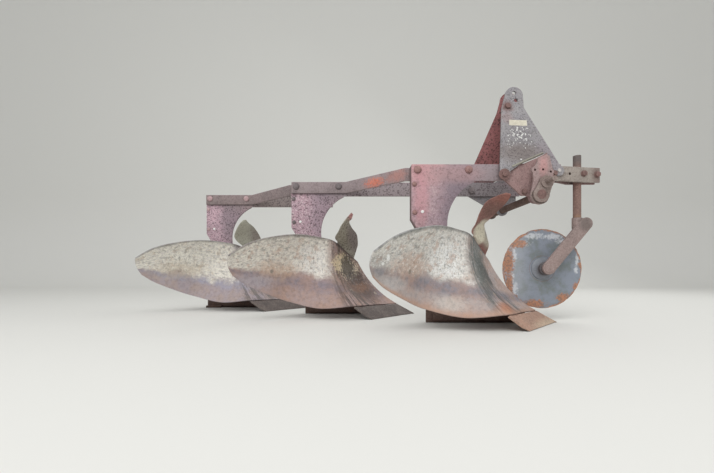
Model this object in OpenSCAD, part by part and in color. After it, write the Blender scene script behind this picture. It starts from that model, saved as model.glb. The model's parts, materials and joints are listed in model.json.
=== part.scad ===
// Three-furrow right-hand mounted moldboard plough, standing on its shares and landsides.
// X points forward along the furrow, Y points to the land side, Z points up, in millimetres.
// The shapes are drawn from the front standard's furrow face, and moved to the middle of the
// plough's box at the end.

/* [Layout] */
// Number of furrows turned at once
bottoms = 3; // [3]
// Distance from one bottom to the next along the furrow
pitch_x = 626; // [600:1:660]
// Width of cut of one bottom
pitch_y = 356; // [330:1:380]
// Height of the beams' top edge above the shares' cutting edges
beam_top = 745; // [715:1:775]
// Height of a beam's flat bar
beam_h = 77; // [65:1:85]

/* [Standards] */
// Thickness of a standard and its beam arm
standard_t = 16; // [12:0.5:20]
// Rear edge of a standard, from the working origin of its bottom
standard_rear = 256; // [246:1:266]
// Radius of the curved throat in front of a standard
throat_r = 222; // [212:1:228]
// Front beam's end ahead of the cross shaft
beam_1_lead = 126; // [120:1:135]
// Middle beam's end ahead of the cross shaft, at the left side plate
beam_2_lead = 91; // [82:1:105]
// Rear beam's end ahead of the rear cross tube's middle
beam_3_lead = 30; // [30:1:80]

/* [Rear stiffeners] */
// Thickness of the angle behind a standard's rear edge
stiffener_t = 8; // [6:0.5:10]
// Gap between a standard and the tie bar that ends behind it
spacer_len = 46; // [40:1:56]

/* [Tie bars] */
// Thickness of the bent tie bars
tie_t = 12; // [10:0.5:14]
// Height of the bent tie bars
tie_h = 63; // [55:1:70]
// Outer radius of the pipe spacers
spacer_r = 18; // [15:0.5:19]
// Outer radius of the cross tubes
tube_r = 22; // [18:0.5:26]
// Wall of the pipe spacers and cross tubes
pipe_wall = 5; // [3:0.5:7]

/* [Bottoms] */
// Thickness of a moldboard
moldboard_t = 8; // [6:0.5:10]
// Thickness of a share
share_t = 10; // [8:0.5:11]
// Distance from the standard's furrow face to the landside plane
land_plane = 45; // [43:1:50]
// Thickness of a landside
landside_t = 12; // [9:0.5:13]
// Height of a landside
landside_h = 110; // [95:1:120]
// Rear end of the first and second landsides
landside_rear = 330; // [300:1:345]
// Rear end of the last landside, which carries the heel
heel_rear = 250; // [220:1:280]
// Thickness of the frog's seat behind the moldboard
frog_seat_t = 11; // [9:0.5:13]
// Thickness of a trashboard
trash_t = 5; // [4:0.5:6]
// Radius of a moldboard brace
brace_r = 8; // [6:0.5:10]

/* [Headstock] */
// Thickness of the side plates and the near clamp bar, which share one layer
side_t = 12; // [10:0.5:14]
// Thickness of the bent mast plates
mast_t = 10; // [8:0.5:12]
// Gap between the mast ears, for the top link
mast_gap = 52; // [50:0.5:60]
// Height of the mast ears' round tops, at their centre
ear_z = 1136; // [1120:1:1150]
// Upright part of a mast ear below that centre
ear_leg = 60; // [54:1:66]
// Radius of a mast ear's round top
ear_r = 46; // [43:1:50]
// Radius of the top-link pin holes
top_hole_r = 9.9; // [9.6:0.1:11]
// Upper top-link hole above the ear's centre
top_hole_rise = 16; // [12:1:20]
// Lower top-link hole below the ear's centre
low_hole_drop = 22; // [18:1:24]
// Outer radius of the tube between the mast plates
mast_spacer_r = 13; // [11:0.5:14]

/* [Cross shaft] */
// Distance of the cross shaft ahead of the working origin
shaft_x = 829; // [824:1:834]
// Cross shaft's middle below the beams
shaft_drop = 78; // [72:1:84]
// Radius of the cross shaft
shaft_r = 18; // [15:0.5:20]
// Radial running clearance of the cross shaft and the coulter's pivots
run_gap = 0.05; // [0.02:0.01:0.1]
// Radius of the hitch pins, category 1
pin_r = 11; // [10.5:0.05:11.1]
// Length of a hitch pin beyond its shoulder
pin_len = 60; // [50:1:75]
// Radius of the shoulder behind a hitch pin
shoulder_r = 27; // [24:0.5:30]
// Distance between the middles of the two hitch pins
hitch_spread = 683; // [670:1:690]
// Throw of the right crank ahead of the shaft
crank_x = 22; // [18:1:26]
// Throw of the right crank above the shaft
crank_z = 55; // [50:1:60]
// Radius of the adjusting holes' circle
adjust_r = 116; // [112:1:120]
// Radius of an adjusting hole
adjust_hole_r = 5.5; // [4.5:0.5:6.5]
// Angle between adjusting holes
adjust_step = 18; // [16:0.5:19]
// Thickness of the quadrant
quadrant_t = 14; // [10:0.5:16]
// Gap between the mast foot and the quadrant, which clears the bolt heads
quadrant_gap = 20; // [18:0.5:24]

/* [Coulter] */
// Radius of the coulter disc
disc_r = 195; // [185:1:200]
// Thickness of the coulter disc
disc_t = 5; // [4:0.5:6]
// Height of the disc's centre
disc_z = 257; // [250:1:262]
// Disc's centre behind the coulter shank
disc_trail = 145; // [139:1:152]
// Near face of the disc, to the land side of the working origin
disc_y = 82; // [78:1:88]
// Radius of the coulter shank
shank_r = 17.5; // [15.5:0.5:19.5]
// Coulter shank ahead of the cross shaft
shank_lead = 224; // [218:1:232]
// Shank's top end above the beams
shank_rise = 51; // [35:1:65]
// Shank's lower end above the disc's centre
shank_above = 195; // [190:1:205]
// Thickness of the yoke's arm
yoke_t = 16; // [12:0.5:18]
// Width of the yoke's arm
yoke_w = 58; // [50:1:62]
// Clamp bars' length ahead of the shank
clamp_nose = 97; // [90:1:104]
// Height of the clamp bars
clamp_h = 69; // [60:1:72]

/* [Hidden] */
$fn = 48;
seat = 0.3;
beam_low = beam_top - beam_h;
last = bottoms - 1;

// Throat of the standard, which cuts 16 mm into the beam
throat_x = standard_rear + 389;
throat_z = beam_low - throat_r + 16;
angle_low = 443;
bolt_rear_x = standard_rear + 28;
bolt_front_x = standard_rear + 267;
tie_top = beam_top;
bolt_z = beam_top - 25;
tube_x = standard_rear + 180;

// Tie bar seen from above
tie_near = standard_t + spacer_len;
tie_far = tie_near + tie_t;
tie_tail = standard_rear + 2;
tie_bend_rear = standard_rear + 304;
tie_bend_front = standard_rear - 24;
tie_nose = bolt_front_x + 37;

// Headstock along the furrow
side_front = shaft_x + 76;
beam_1_end = shaft_x + beam_1_lead;
beam_2_end = shaft_x + beam_2_lead;
beam_3_end = tube_x - pitch_x + beam_3_lead;
shaft_z = beam_low - shaft_drop;
ear_x = shaft_x - 30;
ear_bend = ear_z - ear_leg;

// Arch in the mast plates' lower edge, which a lug of each side plate fills
arch = [[shaft_x - 73, beam_top - 5], [shaft_x + 7, beam_top + 31],
    [shaft_x + 61, beam_top + 56]];
arch_rear = shaft_x - 62;
arch_gap = 5;

// Headstock layers, counted outwards from the beam's furrow face
foot_in = side_t;
foot_out = side_t + mast_t;
left_face = pitch_y + standard_t;
mid_y = left_face / 2;
ear_out = mid_y - mast_gap / 2 - mast_t;
low_bend = beam_top + 3;
lean = atan((ear_out + foot_out) / (ear_bend - low_bend));
miter = mast_t * tan(lean / 2);
quad_face = foot_out + quadrant_gap;
crank_face = quad_face + quadrant_t;
crank_t = 16;
hub_face = crank_face + crank_t;
hub_len = 8;
right_pin_mid = -(hub_face + hub_len) - pin_len / 2;
left_shoulder = right_pin_mid + hitch_spread - pin_len / 2;

// Coulter
shank_x = shaft_x + shank_lead;
disc_x = shank_x - disc_trail;
clamp_end = shank_x + clamp_nose;
shank_top = beam_top + shank_rise;
shank_low = disc_z + shank_above;
shank_y = 39.5;
collar_r = shank_r + 5;
collar_h = 47;
socket_floor = 12;
yoke_y = 14;
axle_r = 10;
hub_r = 30;
flange_r = 54;
clamp_top = beam_top - 12;

// Front of the landside, where the share's upright gunnel starts
gunnel_x = 800;

// Moldboard ribs from the shin to the wing: bottom end, top end, hollow at mid height
shin_y = land_plane - 7;
ribs = [
    [[855, shin_y, 60], [632, shin_y, 298], [-18, 0, -19]],
    [[735, -91, 66], [570, -25, 352], [-30, 15, -25]],
    [[611, -232, 72], [504, -98, 406], [-35, 30, -20]],
    [[440, -226, 58], [429, -167, 421], [-20, 45, 0]],
    [[284, -212, 90], [332, -262, 424], [-15, 42, 0]],
    [[190, -283, 133], [222, -360, 401], [-10, 28, 0]],
    [[104, -352, 182], [135, -425, 365], [-6, 12, 0]],
    [[62, -398, 225], [62, -455, 312], [-14, 0, 0]]];
rib_last = len(ribs) - 1;
per_rib = 3;
grid_rows = 8;

// Middle of the whole plough's box
wing = [for (j = [0:grid_rows]) for (d = [0, moldboard_t]) knot(rib_last * per_rib, j, d)];
box_front = clamp_end;
box_rear = min([for (w = wing) w[0]]) - last * pitch_x;
box_right = min([for (w = wing) w[1]]);
box_left = max(land_plane, tie_near) + last * pitch_y;
shift = [-(box_front + box_rear) / 2, -(box_left + box_right) / 2, 0];

// Catmull-Rom curve through a list of points, at place s counted in points
function pick(list, i) = list[max(0, min(len(list) - 1, i))];
function blend(a, b, c, d, f) =
    0.5 * (2 * b + (c - a) * f + (2 * a - 5 * b + 4 * c - d) * f * f
    + (3 * b - a - 3 * c + d) * f * f * f);
function along(list, s) =
    let (i = min(floor(s), len(list) - 2), f = s - i)
    blend(pick(list, i - 1), list[i], list[i + 1], pick(list, i + 2), f);

// Front surface of the moldboard at rib s and height t from 0 to 1
function face(s, t) =
    let (low = along([for (r = ribs) r[0]], s), top = along([for (r = ribs) r[1]], s),
        hollow = along([for (r = ribs) r[2]], s))
    low + (top - low) * t + hollow * 4 * t * (1 - t);
function unit(v) = v / norm(v);
function face_back(s, t) =
    let (e = 0.02, s0 = max(0, s - e), s1 = min(rib_last, s + e),
        t0 = max(0, t - e), t1 = min(1, t + e))
    unit(cross(face(s1, t) - face(s0, t), face(s, t1) - face(s, t0)));
function behind(s, t, d) = face(s, t) + face_back(s, t) * d;

// Moves a piece from the working origin to the middle of the plough's box
module here() {
    translate(shift) children();
}

// Closed sheet between two grids of points with the same rows and columns
module sheet(front, back) {
    rows = len(front);
    cols = len(front[0]);
    n = rows * cols;
    turn = cross(front[0][1] - front[0][0], front[1][0] - front[0][0])
        * (back[0][0] - front[0][0]);
    points = [for (g = turn > 0 ? [front, back] : [back, front]) for (r = g) for (p = r) p];
    skin = [for (i = [0:rows - 2]) for (j = [0:cols - 2]) for (h = [0, 1])
        let (a = i * cols + j, b = a + 1, c = a + cols, d = c + 1)
        h == 0 ? [a, b, d] : [a, d, c]];
    lining = [for (f = skin) [f[0] + n, f[2] + n, f[1] + n]];
    rim = concat(
        [for (j = [0:cols - 2]) j],
        [for (i = [0:rows - 2]) i * cols + cols - 1],
        [for (j = [cols - 1:-1:1]) (rows - 1) * cols + j],
        [for (i = [rows - 1:-1:1]) i * cols]);
    edge = [for (k = [0:len(rim) - 1]) for (h = [0, 1])
        let (a = rim[k], b = rim[(k + 1) % len(rim)])
        h == 0 ? [b, a, a + n] : [b, a + n, b + n]];
    polyhedron(points, concat(skin, lining, edge), convexity = 6);
}

// Point of the moldboard's grid at column i and row j, at a depth behind its face
function knot(i, j, d) = behind(i / per_rib, j / grid_rows, d);

// Patch of that grid between two columns, two rows and two depths
module patch(i0, i1, j0, j1, d0, d1) {
    function layer(d) = [for (i = [i0:i1]) [for (j = [j0:j1]) knot(i, j, d)]];
    sheet(layer(d0), layer(d1));
}

// Upright slab whose outline is drawn in X and Z, from y to y + t
module slab(y, t) {
    translate([0, y + t, 0]) rotate([90, 0, 0]) linear_extrude(t) children();
}

// Round bar along Y
module bar_y(x, z, r, y0, y1) {
    translate([x, y1, z]) rotate([90, 0, 0]) cylinder(r = r, h = y1 - y0);
}

// Place of bottom i, counted from 0 at the front
module at_bottom(i) {
    translate([-pitch_x * i, pitch_y * i, 0]) children();
}

// Standard with its forward beam arm, cut from one plate
module standard(i, front) {
    arc = [for (a = [115:6:235]) [throat_x + throat_r * cos(a), throat_z + throat_r * sin(a)]];
    color([0.78, 0.55, 0.56]) at_bottom(i) slab(0, standard_t)
        polygon(concat(
            [[standard_rear, angle_low + 47], [standard_rear, beam_top], [front, beam_top],
                [front, beam_low]],
            [[throat_x + throat_r * cos(115), beam_low]], arc,
            [[560, 262], [575, 75], [380, 75], [376, 200], [345, 330],
                [standard_rear + 28, angle_low]]));
}

// Bent angle behind the standard's rear edge
module stiffener(i) {
    rear = standard_rear;
    color([0.6, 0.4, 0.4]) at_bottom(i) {
        slab(standard_t, spacer_len) polygon([
            [rear, angle_low + 47], [rear, beam_top], [rear + stiffener_t, beam_top],
            [rear + stiffener_t, angle_low + 50], [rear + 36, angle_low + 6],
            [rear + 28, angle_low]]);
        slab(standard_t, stiffener_t) polygon([
            [rear, angle_low + 47], [rear, beam_low], [rear + 40, beam_low],
            [rear + 40, angle_low + 62], [rear + 62, angle_low + 25], [rear + 28, angle_low]]);
    }
}

// Frog: web beside the standard's foot, with curved seats for the moldboard and share
module frog(i) {
    web_y = standard_t;
    web_t = land_plane - landside_t - standard_t;
    color([0.35, 0.28, 0.25]) at_bottom(i) {
        slab(web_y, web_t) polygon([
            [360, 12], [gunnel_x - 8, 12], [gunnel_x, 42], [762, 80], [704, 133], [646, 211],
            [600, 286],
            [560, 300], [470, 300], [400, 230], [360, 120]]);
        difference() {
            patch(0, 8, 1, 5, moldboard_t + seat, moldboard_t + seat + frog_seat_t);
            translate([500, web_y + web_t, 0]) cube([500, 60, 400]);
        }
    }
}

// Moldboard as a curved sheet
module moldboard(i) {
    color([0.72, 0.66, 0.6]) at_bottom(i)
        patch(0, rib_last * per_rib, 0, grid_rows, 0, moldboard_t);
}

// Share: blade along the furrow, with its upright gunnel on the land side
module share(i) {
    tip = [gunnel_x + 155, land_plane - 1, 0];
    end = [gunnel_x - 99, -227, 0];
    heel = ribs[2][0] + [5, 0, -6];
    shin = ribs[0][0] + [5, 0, -4.5];
    down = unit(cross(heel - shin, tip - shin)) * share_t;
    low = down[2] < 0 ? down : -down;
    color([0.55, 0.36, 0.28]) at_bottom(i) {
        sheet([[tip + [0, 0, 3], end + [0, 0, 3]], [shin, heel]],
            [[tip, end], [shin + low, heel + low]]);
        slab(land_plane - landside_t, landside_t) polygon([
            [gunnel_x, 0], [tip[0], 0], [tip[0], 3], [shin[0] - 3, shin[2]],
            [gunnel_x + 6, 44], [gunnel_x, 30]]);
    }
}

// Landside bar, with a raised heel on the last bottom
module landside(i) {
    rear = i == last ? heel_rear : landside_rear;
    color([0.45, 0.38, 0.34]) at_bottom(i) {
        slab(land_plane - landside_t, landside_t) polygon([
            [rear, 0], [gunnel_x - seat, 0], [gunnel_x - seat, 38],
            [gunnel_x - 65, landside_h - 14], [gunnel_x - 100, landside_h],
            [rear + 25, landside_h], [rear, landside_h - 30]]);
        if (i == last) slab(land_plane - landside_t - 30, 30) polygon([
            [rear, 0], [rear + 100, 0], [rear + 100, 14], [rear, 14]]);
    }
}

// Trashboard leaves as they are bent, front to rear: rows from land-side to furrow-side end
leaves = [
    [[[611, 8, 412], [510, -94, 416]], [[597, 0, 461], [512, -96, 430]],
        [[602, -50, 479], [519, -120, 451]], [[610, -120, 502], [527, -150, 497]],
        [[610, -210, 522], [538, -190, 532]], [[607, -262, 539], [566, -236, 548]],
        [[603, -272, 548], [588, -264, 554]]],
    [[[632, -10, 395], [511, -130, 420]], [[627, -70, 441], [533, -195, 447]],
        [[603, -155, 467], [548, -235, 469]], [[588, -215, 492], [566, -245, 494]],
        [[599, -240, 503], [586, -252, 519]], [[608, -250, 526], [599, -256, 534]]],
    [[[630, -5, 398], [503, -125, 426]], [[628, -60, 462], [498, -170, 456]],
        [[612, -130, 511], [524, -205, 497]], [[595, -190, 534], [553, -230, 529]],
        [[586, -222, 549], [572, -228, 551]]]];

// Trashboard: foot behind the moldboard's front corner, and a leaf that curls over the furrow
module trashboard(i) {
    foot = [for (j = [grid_rows - 1, grid_rows]) [for (i = [1:5])
        knot(i, j, moldboard_t + seat)]];
    rows = concat([[[624, 18, 364], [520, -80, 404]]], leaves[i]);
    leaf = [for (r = rows) [for (j = [0:4]) r[0] + (r[1] - r[0]) * j / 4]];
    grid = concat(foot, leaf);
    count = len(grid);
    function out(k, j) = unit(cross(
        grid[k][min(4, j + 1)] - grid[k][max(0, j - 1)],
        grid[min(count - 1, k + 1)][j] - grid[max(0, k - 1)][j]));
    back = [for (k = [0:count - 1]) [for (j = [0:4]) grid[k][j] + out(k, j) * trash_t]];
    color([0.6, 0.3, 0.27]) at_bottom(i)
        sheet([for (j = [0:4]) [for (k = [0:count - 1]) grid[k][j]]],
            [for (j = [0:4]) [for (k = [0:count - 1]) back[k][j]]]);
}

// Brace from the standard's foot to the moldboard's tail
module brace(i) {
    from = [408, -9, 215];
    to = behind(4.83, 0.44, moldboard_t + brace_r + 3);
    span = to - from;
    color([0.4, 0.32, 0.3]) at_bottom(i) {
        slab(-18, 18) polygon([[385, 192], [431, 192], [431, 238], [385, 238]]);
        translate(from) rotate([0, acos(span[2] / norm(span)), atan2(span[1], span[0])])
            cylinder(r = brace_r, h = norm(span));
        patch(14, 15, 3, 4, moldboard_t + seat, moldboard_t + 2 * brace_r + 6);
    }
}

// Bent tie bar from the furrow face of bottom i + 1 to behind bottom i
module tie_bar(i) {
    tail_x = tie_tail - pitch_x;
    rear_x = tie_bend_rear - pitch_x;
    color([0.55, 0.45, 0.44]) at_bottom(i) translate([0, 0, tie_top - tie_h])
        linear_extrude(tie_h) polygon([
            [tail_x, pitch_y - tie_t], [rear_x, pitch_y - tie_t], [tie_bend_front, tie_near],
            [tie_nose, tie_near], [tie_nose, tie_far], [tie_bend_front + 5, tie_far],
            [rear_x + 5, pitch_y], [tail_x, pitch_y]]);
}

// Pipe along Y
module pipe(x, z, r, y0, y1) {
    difference() {
        bar_y(x, z, r, y0, y1);
        bar_y(x, z, r - pipe_wall, y0 - 1, y1 + 1);
    }
}

// Two pipe spacers between a standard and the tie bar behind it
module spacers(i) {
    color([0.5, 0.38, 0.36]) at_bottom(i) for (x = [bolt_rear_x, bolt_front_x])
        pipe(x, bolt_z, spacer_r, standard_t, tie_near);
}

// Cross tube from the tie bar to the next beam
module cross_tube(i) {
    color([0.5, 0.38, 0.36]) at_bottom(i)
        pipe(tube_x, bolt_z, tube_r, tie_far, pitch_y);
}

// Side plate that carries the cross shaft, with its rear corner at rear_x
module side_plate(y, rear_x) {
    color([0.62, 0.42, 0.4]) difference() {
        union() {
            slab(y, side_t) polygon([
                [rear_x - 18, beam_top], [arch_rear + 2 * arch_gap, beam_top],
                arch[1] - [0, arch_gap], arch[2] - [arch_gap, arch_gap],
                [arch[2][0] - arch_gap, beam_top], [side_front, beam_top],
                [side_front, shaft_z + 50],
                [shaft_x + 30, shaft_z], [shaft_x - 30, shaft_z], [shaft_x - 45, shaft_z + 6],
                [shaft_x - 65, shaft_z + 6], [rear_x, beam_low], [rear_x - 18, beam_low + 18]]);
            bar_y(shaft_x, shaft_z, shaft_r + 13, y, y + side_t);
        }
        bar_y(shaft_x, shaft_z, shaft_r + run_gap, y - 1, y + side_t + 1);
    }
}

// Front view of a mast plate, as a deep block with its rear edge starting at rear_x
module mast_outline(rear_x) {
    depth = left_face;
    front_x = shaft_x + 105;
    difference() {
        union() {
            slab(-depth, 2 * depth) polygon([
                [rear_x, beam_top - 50], [rear_x, beam_top], [ear_x - ear_r - 16, ear_bend],
                [ear_x - ear_r, ear_z], [ear_x + ear_r, ear_z], [ear_x + ear_r + 5, ear_bend],
                [front_x - 4, beam_top], [front_x + 24, beam_top - 34],
                [front_x - 24, beam_top - 37], [front_x - 39, beam_top],
                arch[2], arch[1], arch[0], [shaft_x - 121, beam_top - 39]]);
            bar_y(rear_x + 22, beam_top - 50, 25, -depth, depth);
            bar_y(front_x, beam_top - 36, 24, -depth, depth);
            bar_y(ear_x, ear_z, ear_r, -depth, depth);
        }
        bar_y(ear_x, ear_z + top_hole_rise, top_hole_r, -depth - 1, depth + 1);
        bar_y(ear_x + 10, ear_z - low_hole_drop, top_hole_r, -depth - 1, depth + 1);
    }
}

// Mast plate bent in from the right beam: its edge view cut by its outline
module mast_plate(rear_x) {
    intersection() {
        translate([shaft_x - 229, 0, 0]) rotate([90, 0, 90]) linear_extrude(400) polygon([
            [-foot_out, beam_low - 60], [-foot_out, low_bend], [ear_out, ear_bend],
            [ear_out, ear_z + 80], [ear_out + mast_t, ear_z + 80],
            [ear_out + mast_t, ear_bend - miter], [-foot_in, low_bend - miter],
            [-foot_in, beam_low - 60]]);
        mast_outline(rear_x);
    }
}

module mast_plate_right() {
    color([0.52, 0.5, 0.48]) mast_plate(shaft_x - 167);
}

module mast_plate_left() {
    color([0.5, 0.24, 0.24]) translate([0, left_face, 0]) mirror([0, 1, 0])
        mast_plate(shaft_x - 204);
}

module mast_spacer() {
    color([0.45, 0.3, 0.28])
        pipe(ear_x - 31, ear_bend + 18, mast_spacer_r, ear_out + mast_t,
            ear_out + mast_t + mast_gap);
}

// Cross shaft with its left shoulder and pin
module cross_shaft() {
    color([0.4, 0.36, 0.34]) {
        bar_y(shaft_x, shaft_z, shaft_r, -quad_face, left_shoulder);
        bar_y(shaft_x, shaft_z, shoulder_r, left_shoulder - 12, left_shoulder);
        bar_y(shaft_x, shaft_z, pin_r, left_shoulder, left_shoulder + pin_len);
    }
}

// Quadrant with its three adjusting holes
module quadrant() {
    holes = [83.5 + adjust_step, 83.5, 83.5 - adjust_step];
    color([0.85, 0.6, 0.6]) difference() {
        union() {
            slab(-crank_face, quadrant_t) translate([shaft_x, shaft_z]) polygon([
                [-37, 15], [-28, 80], [-34, 100], [-28, 112], [-25, 128], [-14, 147], [-9, 166],
                [30, 184], [44, 176], [60, 104], [66, 60], [40, 8], [20, -30], [-20, -30]]);
            bar_y(shaft_x, shaft_z, 42, -crank_face, -quad_face);
            for (a = holes)
                bar_y(shaft_x + adjust_r * cos(a), shaft_z + adjust_r * sin(a), 15,
                    -crank_face, -quad_face);
        }
        for (a = holes)
            bar_y(shaft_x + adjust_r * cos(a), shaft_z + adjust_r * sin(a), adjust_hole_r,
                -crank_face - 1, -quad_face + 1);
    }
}

// Right crank with its hub and hitch pin
module crank() {
    a = atan2(crank_z, crank_x);
    color([0.6, 0.55, 0.55]) {
        slab(-hub_face, crank_t) translate([shaft_x, shaft_z]) {
            circle(r = 36);
            translate([crank_x, crank_z]) circle(r = 30);
            rotate(a) polygon([[0, -34], [norm([crank_x, crank_z]), -29],
                [norm([crank_x, crank_z]), 29], [0, 34]]);
        }
        translate([crank_x, 0, crank_z]) {
            bar_y(shaft_x, shaft_z, shoulder_r, -hub_face - hub_len, -hub_face);
            bar_y(shaft_x, shaft_z, pin_r, -hub_face - hub_len - pin_len, -hub_face - hub_len);
        }
    }
}

// Near clamp bar, bent in to grip the coulter shank
module clamp_bar_near() {
    grip = shank_y - shank_r;
    bend = beam_1_end + 5;
    color([0.6, 0.5, 0.5]) difference() {
        translate([0, 0, clamp_top - clamp_h]) linear_extrude(clamp_h) polygon([
            [side_front + seat, -side_t], [bend, -side_t], [clamp_end, grip - side_t + 10],
            [clamp_end, grip + 10], [shank_x + shank_r, grip], [shank_x - shank_r, grip - 4],
            [bend, 0], [side_front + seat, 0]]);
        bar_y(bend + 32, beam_top - 46, 6.5, -2 * side_t, grip + side_t);
    }
}

// Far clamp bar, bent out from the beam's inner face to pass behind the shank
module clamp_bar_far() {
    grip = shank_y + shank_r;
    bend = beam_1_end - 5;
    color([0.5, 0.4, 0.4]) translate([0, 0, clamp_top - clamp_h]) linear_extrude(clamp_h)
        polygon([[bend - 80, standard_t], [bend, standard_t], [shank_x - 35, grip],
            [clamp_end, grip], [clamp_end, grip + side_t], [shank_x - 39, grip + side_t],
            [bend - 4, standard_t + side_t], [bend - 80, standard_t + side_t]]);
}

// Coulter shank, clamped upright, with its foot in the yoke's socket
module coulter_shank() {
    color([0.5, 0.37, 0.35]) translate([shank_x, shank_y, shank_low])
        cylinder(r = shank_r, h = shank_top - shank_low);
}

// Yoke: socket round the shank's foot, trailing arm in front of it, and axle
module coulter_yoke() {
    head = [shank_x + 31, shank_low + 18];
    hub = [disc_x, disc_z + 1];
    a = atan2(head[1] - hub[1], head[0] - hub[0]);
    color([0.52, 0.38, 0.36]) {
        difference() {
            union() {
                slab(yoke_y, yoke_t) {
                    translate(hub) circle(r = yoke_w / 2);
                    translate(head) circle(r = yoke_w / 2);
                    translate(hub) rotate(a) translate([0, -yoke_w / 2])
                        square([norm(head - hub), yoke_w]);
                }
                translate([shank_x, shank_y, shank_low]) rotate_extrude() polygon([
                    [0, -socket_floor], [collar_r - 9, -socket_floor],
                    [collar_r - 3, 4 - socket_floor], [collar_r, 10 - socket_floor],
                    [collar_r, collar_h], [0, collar_h]]);
            }
            translate([shank_x, shank_y, shank_low - seat])
                cylinder(r = shank_r + run_gap, h = collar_h + yoke_w);
        }
        bar_y(disc_x, disc_z, axle_r, yoke_y + yoke_t, disc_y + disc_t + 10);
    }
}

// Hub that turns on the axle, with its flange against the disc
module coulter_hub() {
    color([0.4, 0.4, 0.42]) difference() {
        union() {
            bar_y(disc_x, disc_z, hub_r, yoke_y + yoke_t + 5, disc_y);
            bar_y(disc_x, disc_z, flange_r, disc_y - 8, disc_y);
        }
        bar_y(disc_x, disc_z, axle_r + run_gap, 0, disc_y + 20);
    }
}

// Disc with a bevelled rim
module coulter_disc() {
    color([0.5, 0.54, 0.6]) translate([disc_x, disc_y + disc_t, disc_z]) rotate([90, 0, 0])
        rotate_extrude($fn = 96) polygon([[axle_r + run_gap, 0], [disc_r - 22, 0],
            [disc_r, disc_t / 2 - 0.6], [disc_r, disc_t / 2 + 0.6], [disc_r - 22, disc_t],
            [axle_r + run_gap, disc_t]]);
}

here() standard(0, beam_1_end);  // standard_1
here() standard(1, beam_2_end + pitch_x);  // standard_2
here() standard(2, beam_3_end + 2 * pitch_x);  // standard_3
here() stiffener(0);  // stiffener_1
here() stiffener(1);  // stiffener_2
here() stiffener(2);  // stiffener_3
here() frog(0);  // frog_1
here() frog(1);  // frog_2
here() frog(2);  // frog_3
here() moldboard(0);  // moldboard_1
here() moldboard(1);  // moldboard_2
here() moldboard(2);  // moldboard_3
here() share(0);  // share_1
here() share(1);  // share_2
here() share(2);  // share_3
here() landside(0);  // landside_1
here() landside(1);  // landside_2
here() landside(2);  // landside_3
here() trashboard(0);  // trashboard_1
here() trashboard(1);  // trashboard_2
here() trashboard(2);  // trashboard_3
here() brace(0);  // brace_1
here() brace(1);  // brace_2
here() brace(2);  // brace_3
here() tie_bar(0);  // tie_bar_front
here() tie_bar(1);  // tie_bar_rear
here() spacers(0);  // spacers_front
here() spacers(1);  // spacers_rear
here() cross_tube(0);  // cross_tube_front
here() cross_tube(1);  // cross_tube_rear
here() side_plate(-side_t, shaft_x - 143);  // side_plate_right
here() side_plate(left_face, shaft_x - 191);  // side_plate_left
here() mast_plate_right();
here() mast_plate_left();
here() mast_spacer();
here() cross_shaft();
here() quadrant();
here() crank();
here() clamp_bar_near();
here() clamp_bar_far();
here() coulter_shank();
here() coulter_yoke();
here() coulter_hub();
here() coulter_disc();
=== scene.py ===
"""Looks of a weathered three-furrow mounted moldboard plough.

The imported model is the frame. Plates, bars and castings are carried over with rounded edges,
the moldboards, shares, trashboards and the coulter's disc are built again as finer surfaces,
and bolts, nuts, washers, weld beads and worn finishes are added.

Lengths and places are in millimetres, measured from a bottom's working origin, unless a line
says otherwise: X ahead, Y from the furrow side to the land side, Z up from the ground.
"""
import json
import logging
import math
import random
from dataclasses import dataclass, field
from enum import Enum

import bmesh
import bpy
from mathutils import Matrix, Vector, noise
from mathutils.bvhtree import BVHTree

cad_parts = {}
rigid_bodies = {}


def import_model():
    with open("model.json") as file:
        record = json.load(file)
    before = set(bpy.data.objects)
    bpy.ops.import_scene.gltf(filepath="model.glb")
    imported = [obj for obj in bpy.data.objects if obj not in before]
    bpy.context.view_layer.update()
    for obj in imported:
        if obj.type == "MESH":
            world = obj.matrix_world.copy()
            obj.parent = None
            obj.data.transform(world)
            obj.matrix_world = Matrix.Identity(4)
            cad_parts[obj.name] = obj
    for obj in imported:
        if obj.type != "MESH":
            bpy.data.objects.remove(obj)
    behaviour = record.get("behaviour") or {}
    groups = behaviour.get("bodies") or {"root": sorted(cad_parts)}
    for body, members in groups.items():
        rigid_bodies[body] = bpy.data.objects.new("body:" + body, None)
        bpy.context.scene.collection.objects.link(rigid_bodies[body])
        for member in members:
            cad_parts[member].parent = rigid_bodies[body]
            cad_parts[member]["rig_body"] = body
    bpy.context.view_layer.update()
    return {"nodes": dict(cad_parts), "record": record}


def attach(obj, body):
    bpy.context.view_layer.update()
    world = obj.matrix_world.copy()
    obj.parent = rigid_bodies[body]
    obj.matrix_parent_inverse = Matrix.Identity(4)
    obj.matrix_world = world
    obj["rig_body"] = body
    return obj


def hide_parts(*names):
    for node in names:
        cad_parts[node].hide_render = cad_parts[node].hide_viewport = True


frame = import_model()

log = logging.getLogger("plough")

Socket = bpy.types.NodeSocket
Feed = Socket | Vector | tuple | float
Mesh = bmesh.types.BMesh
Point = tuple[float, float, float]
Pairs = tuple[tuple[float, float], ...]
Colour = tuple[int, int, int]

SHIFT = Vector((29.25, -159.5, 0.0))  # from the front bottom's working origin to the frame's
PITCH = Vector((-626.0, 356.0, 0.0))  # from one bottom's working origin to the next one's
STANDARD_T = 16.0  # thickness of the standards
BAR_T = 12.0  # thickness of the flat bars
TIE_FAR = 74.0  # Y of the tie bars' far face, behind a standard and its spacer
LEFT_FACE = 372.0  # Y where the left side plate lies against the middle standard
AXLE = (908.0, 257.0)  # X and Z of the coulter's axle
DISC_Y = 84.5  # Y of the disc's middle plane
SUNK = -0.3  # height of a fastener's foot, just inside the plate that it sits on


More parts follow.
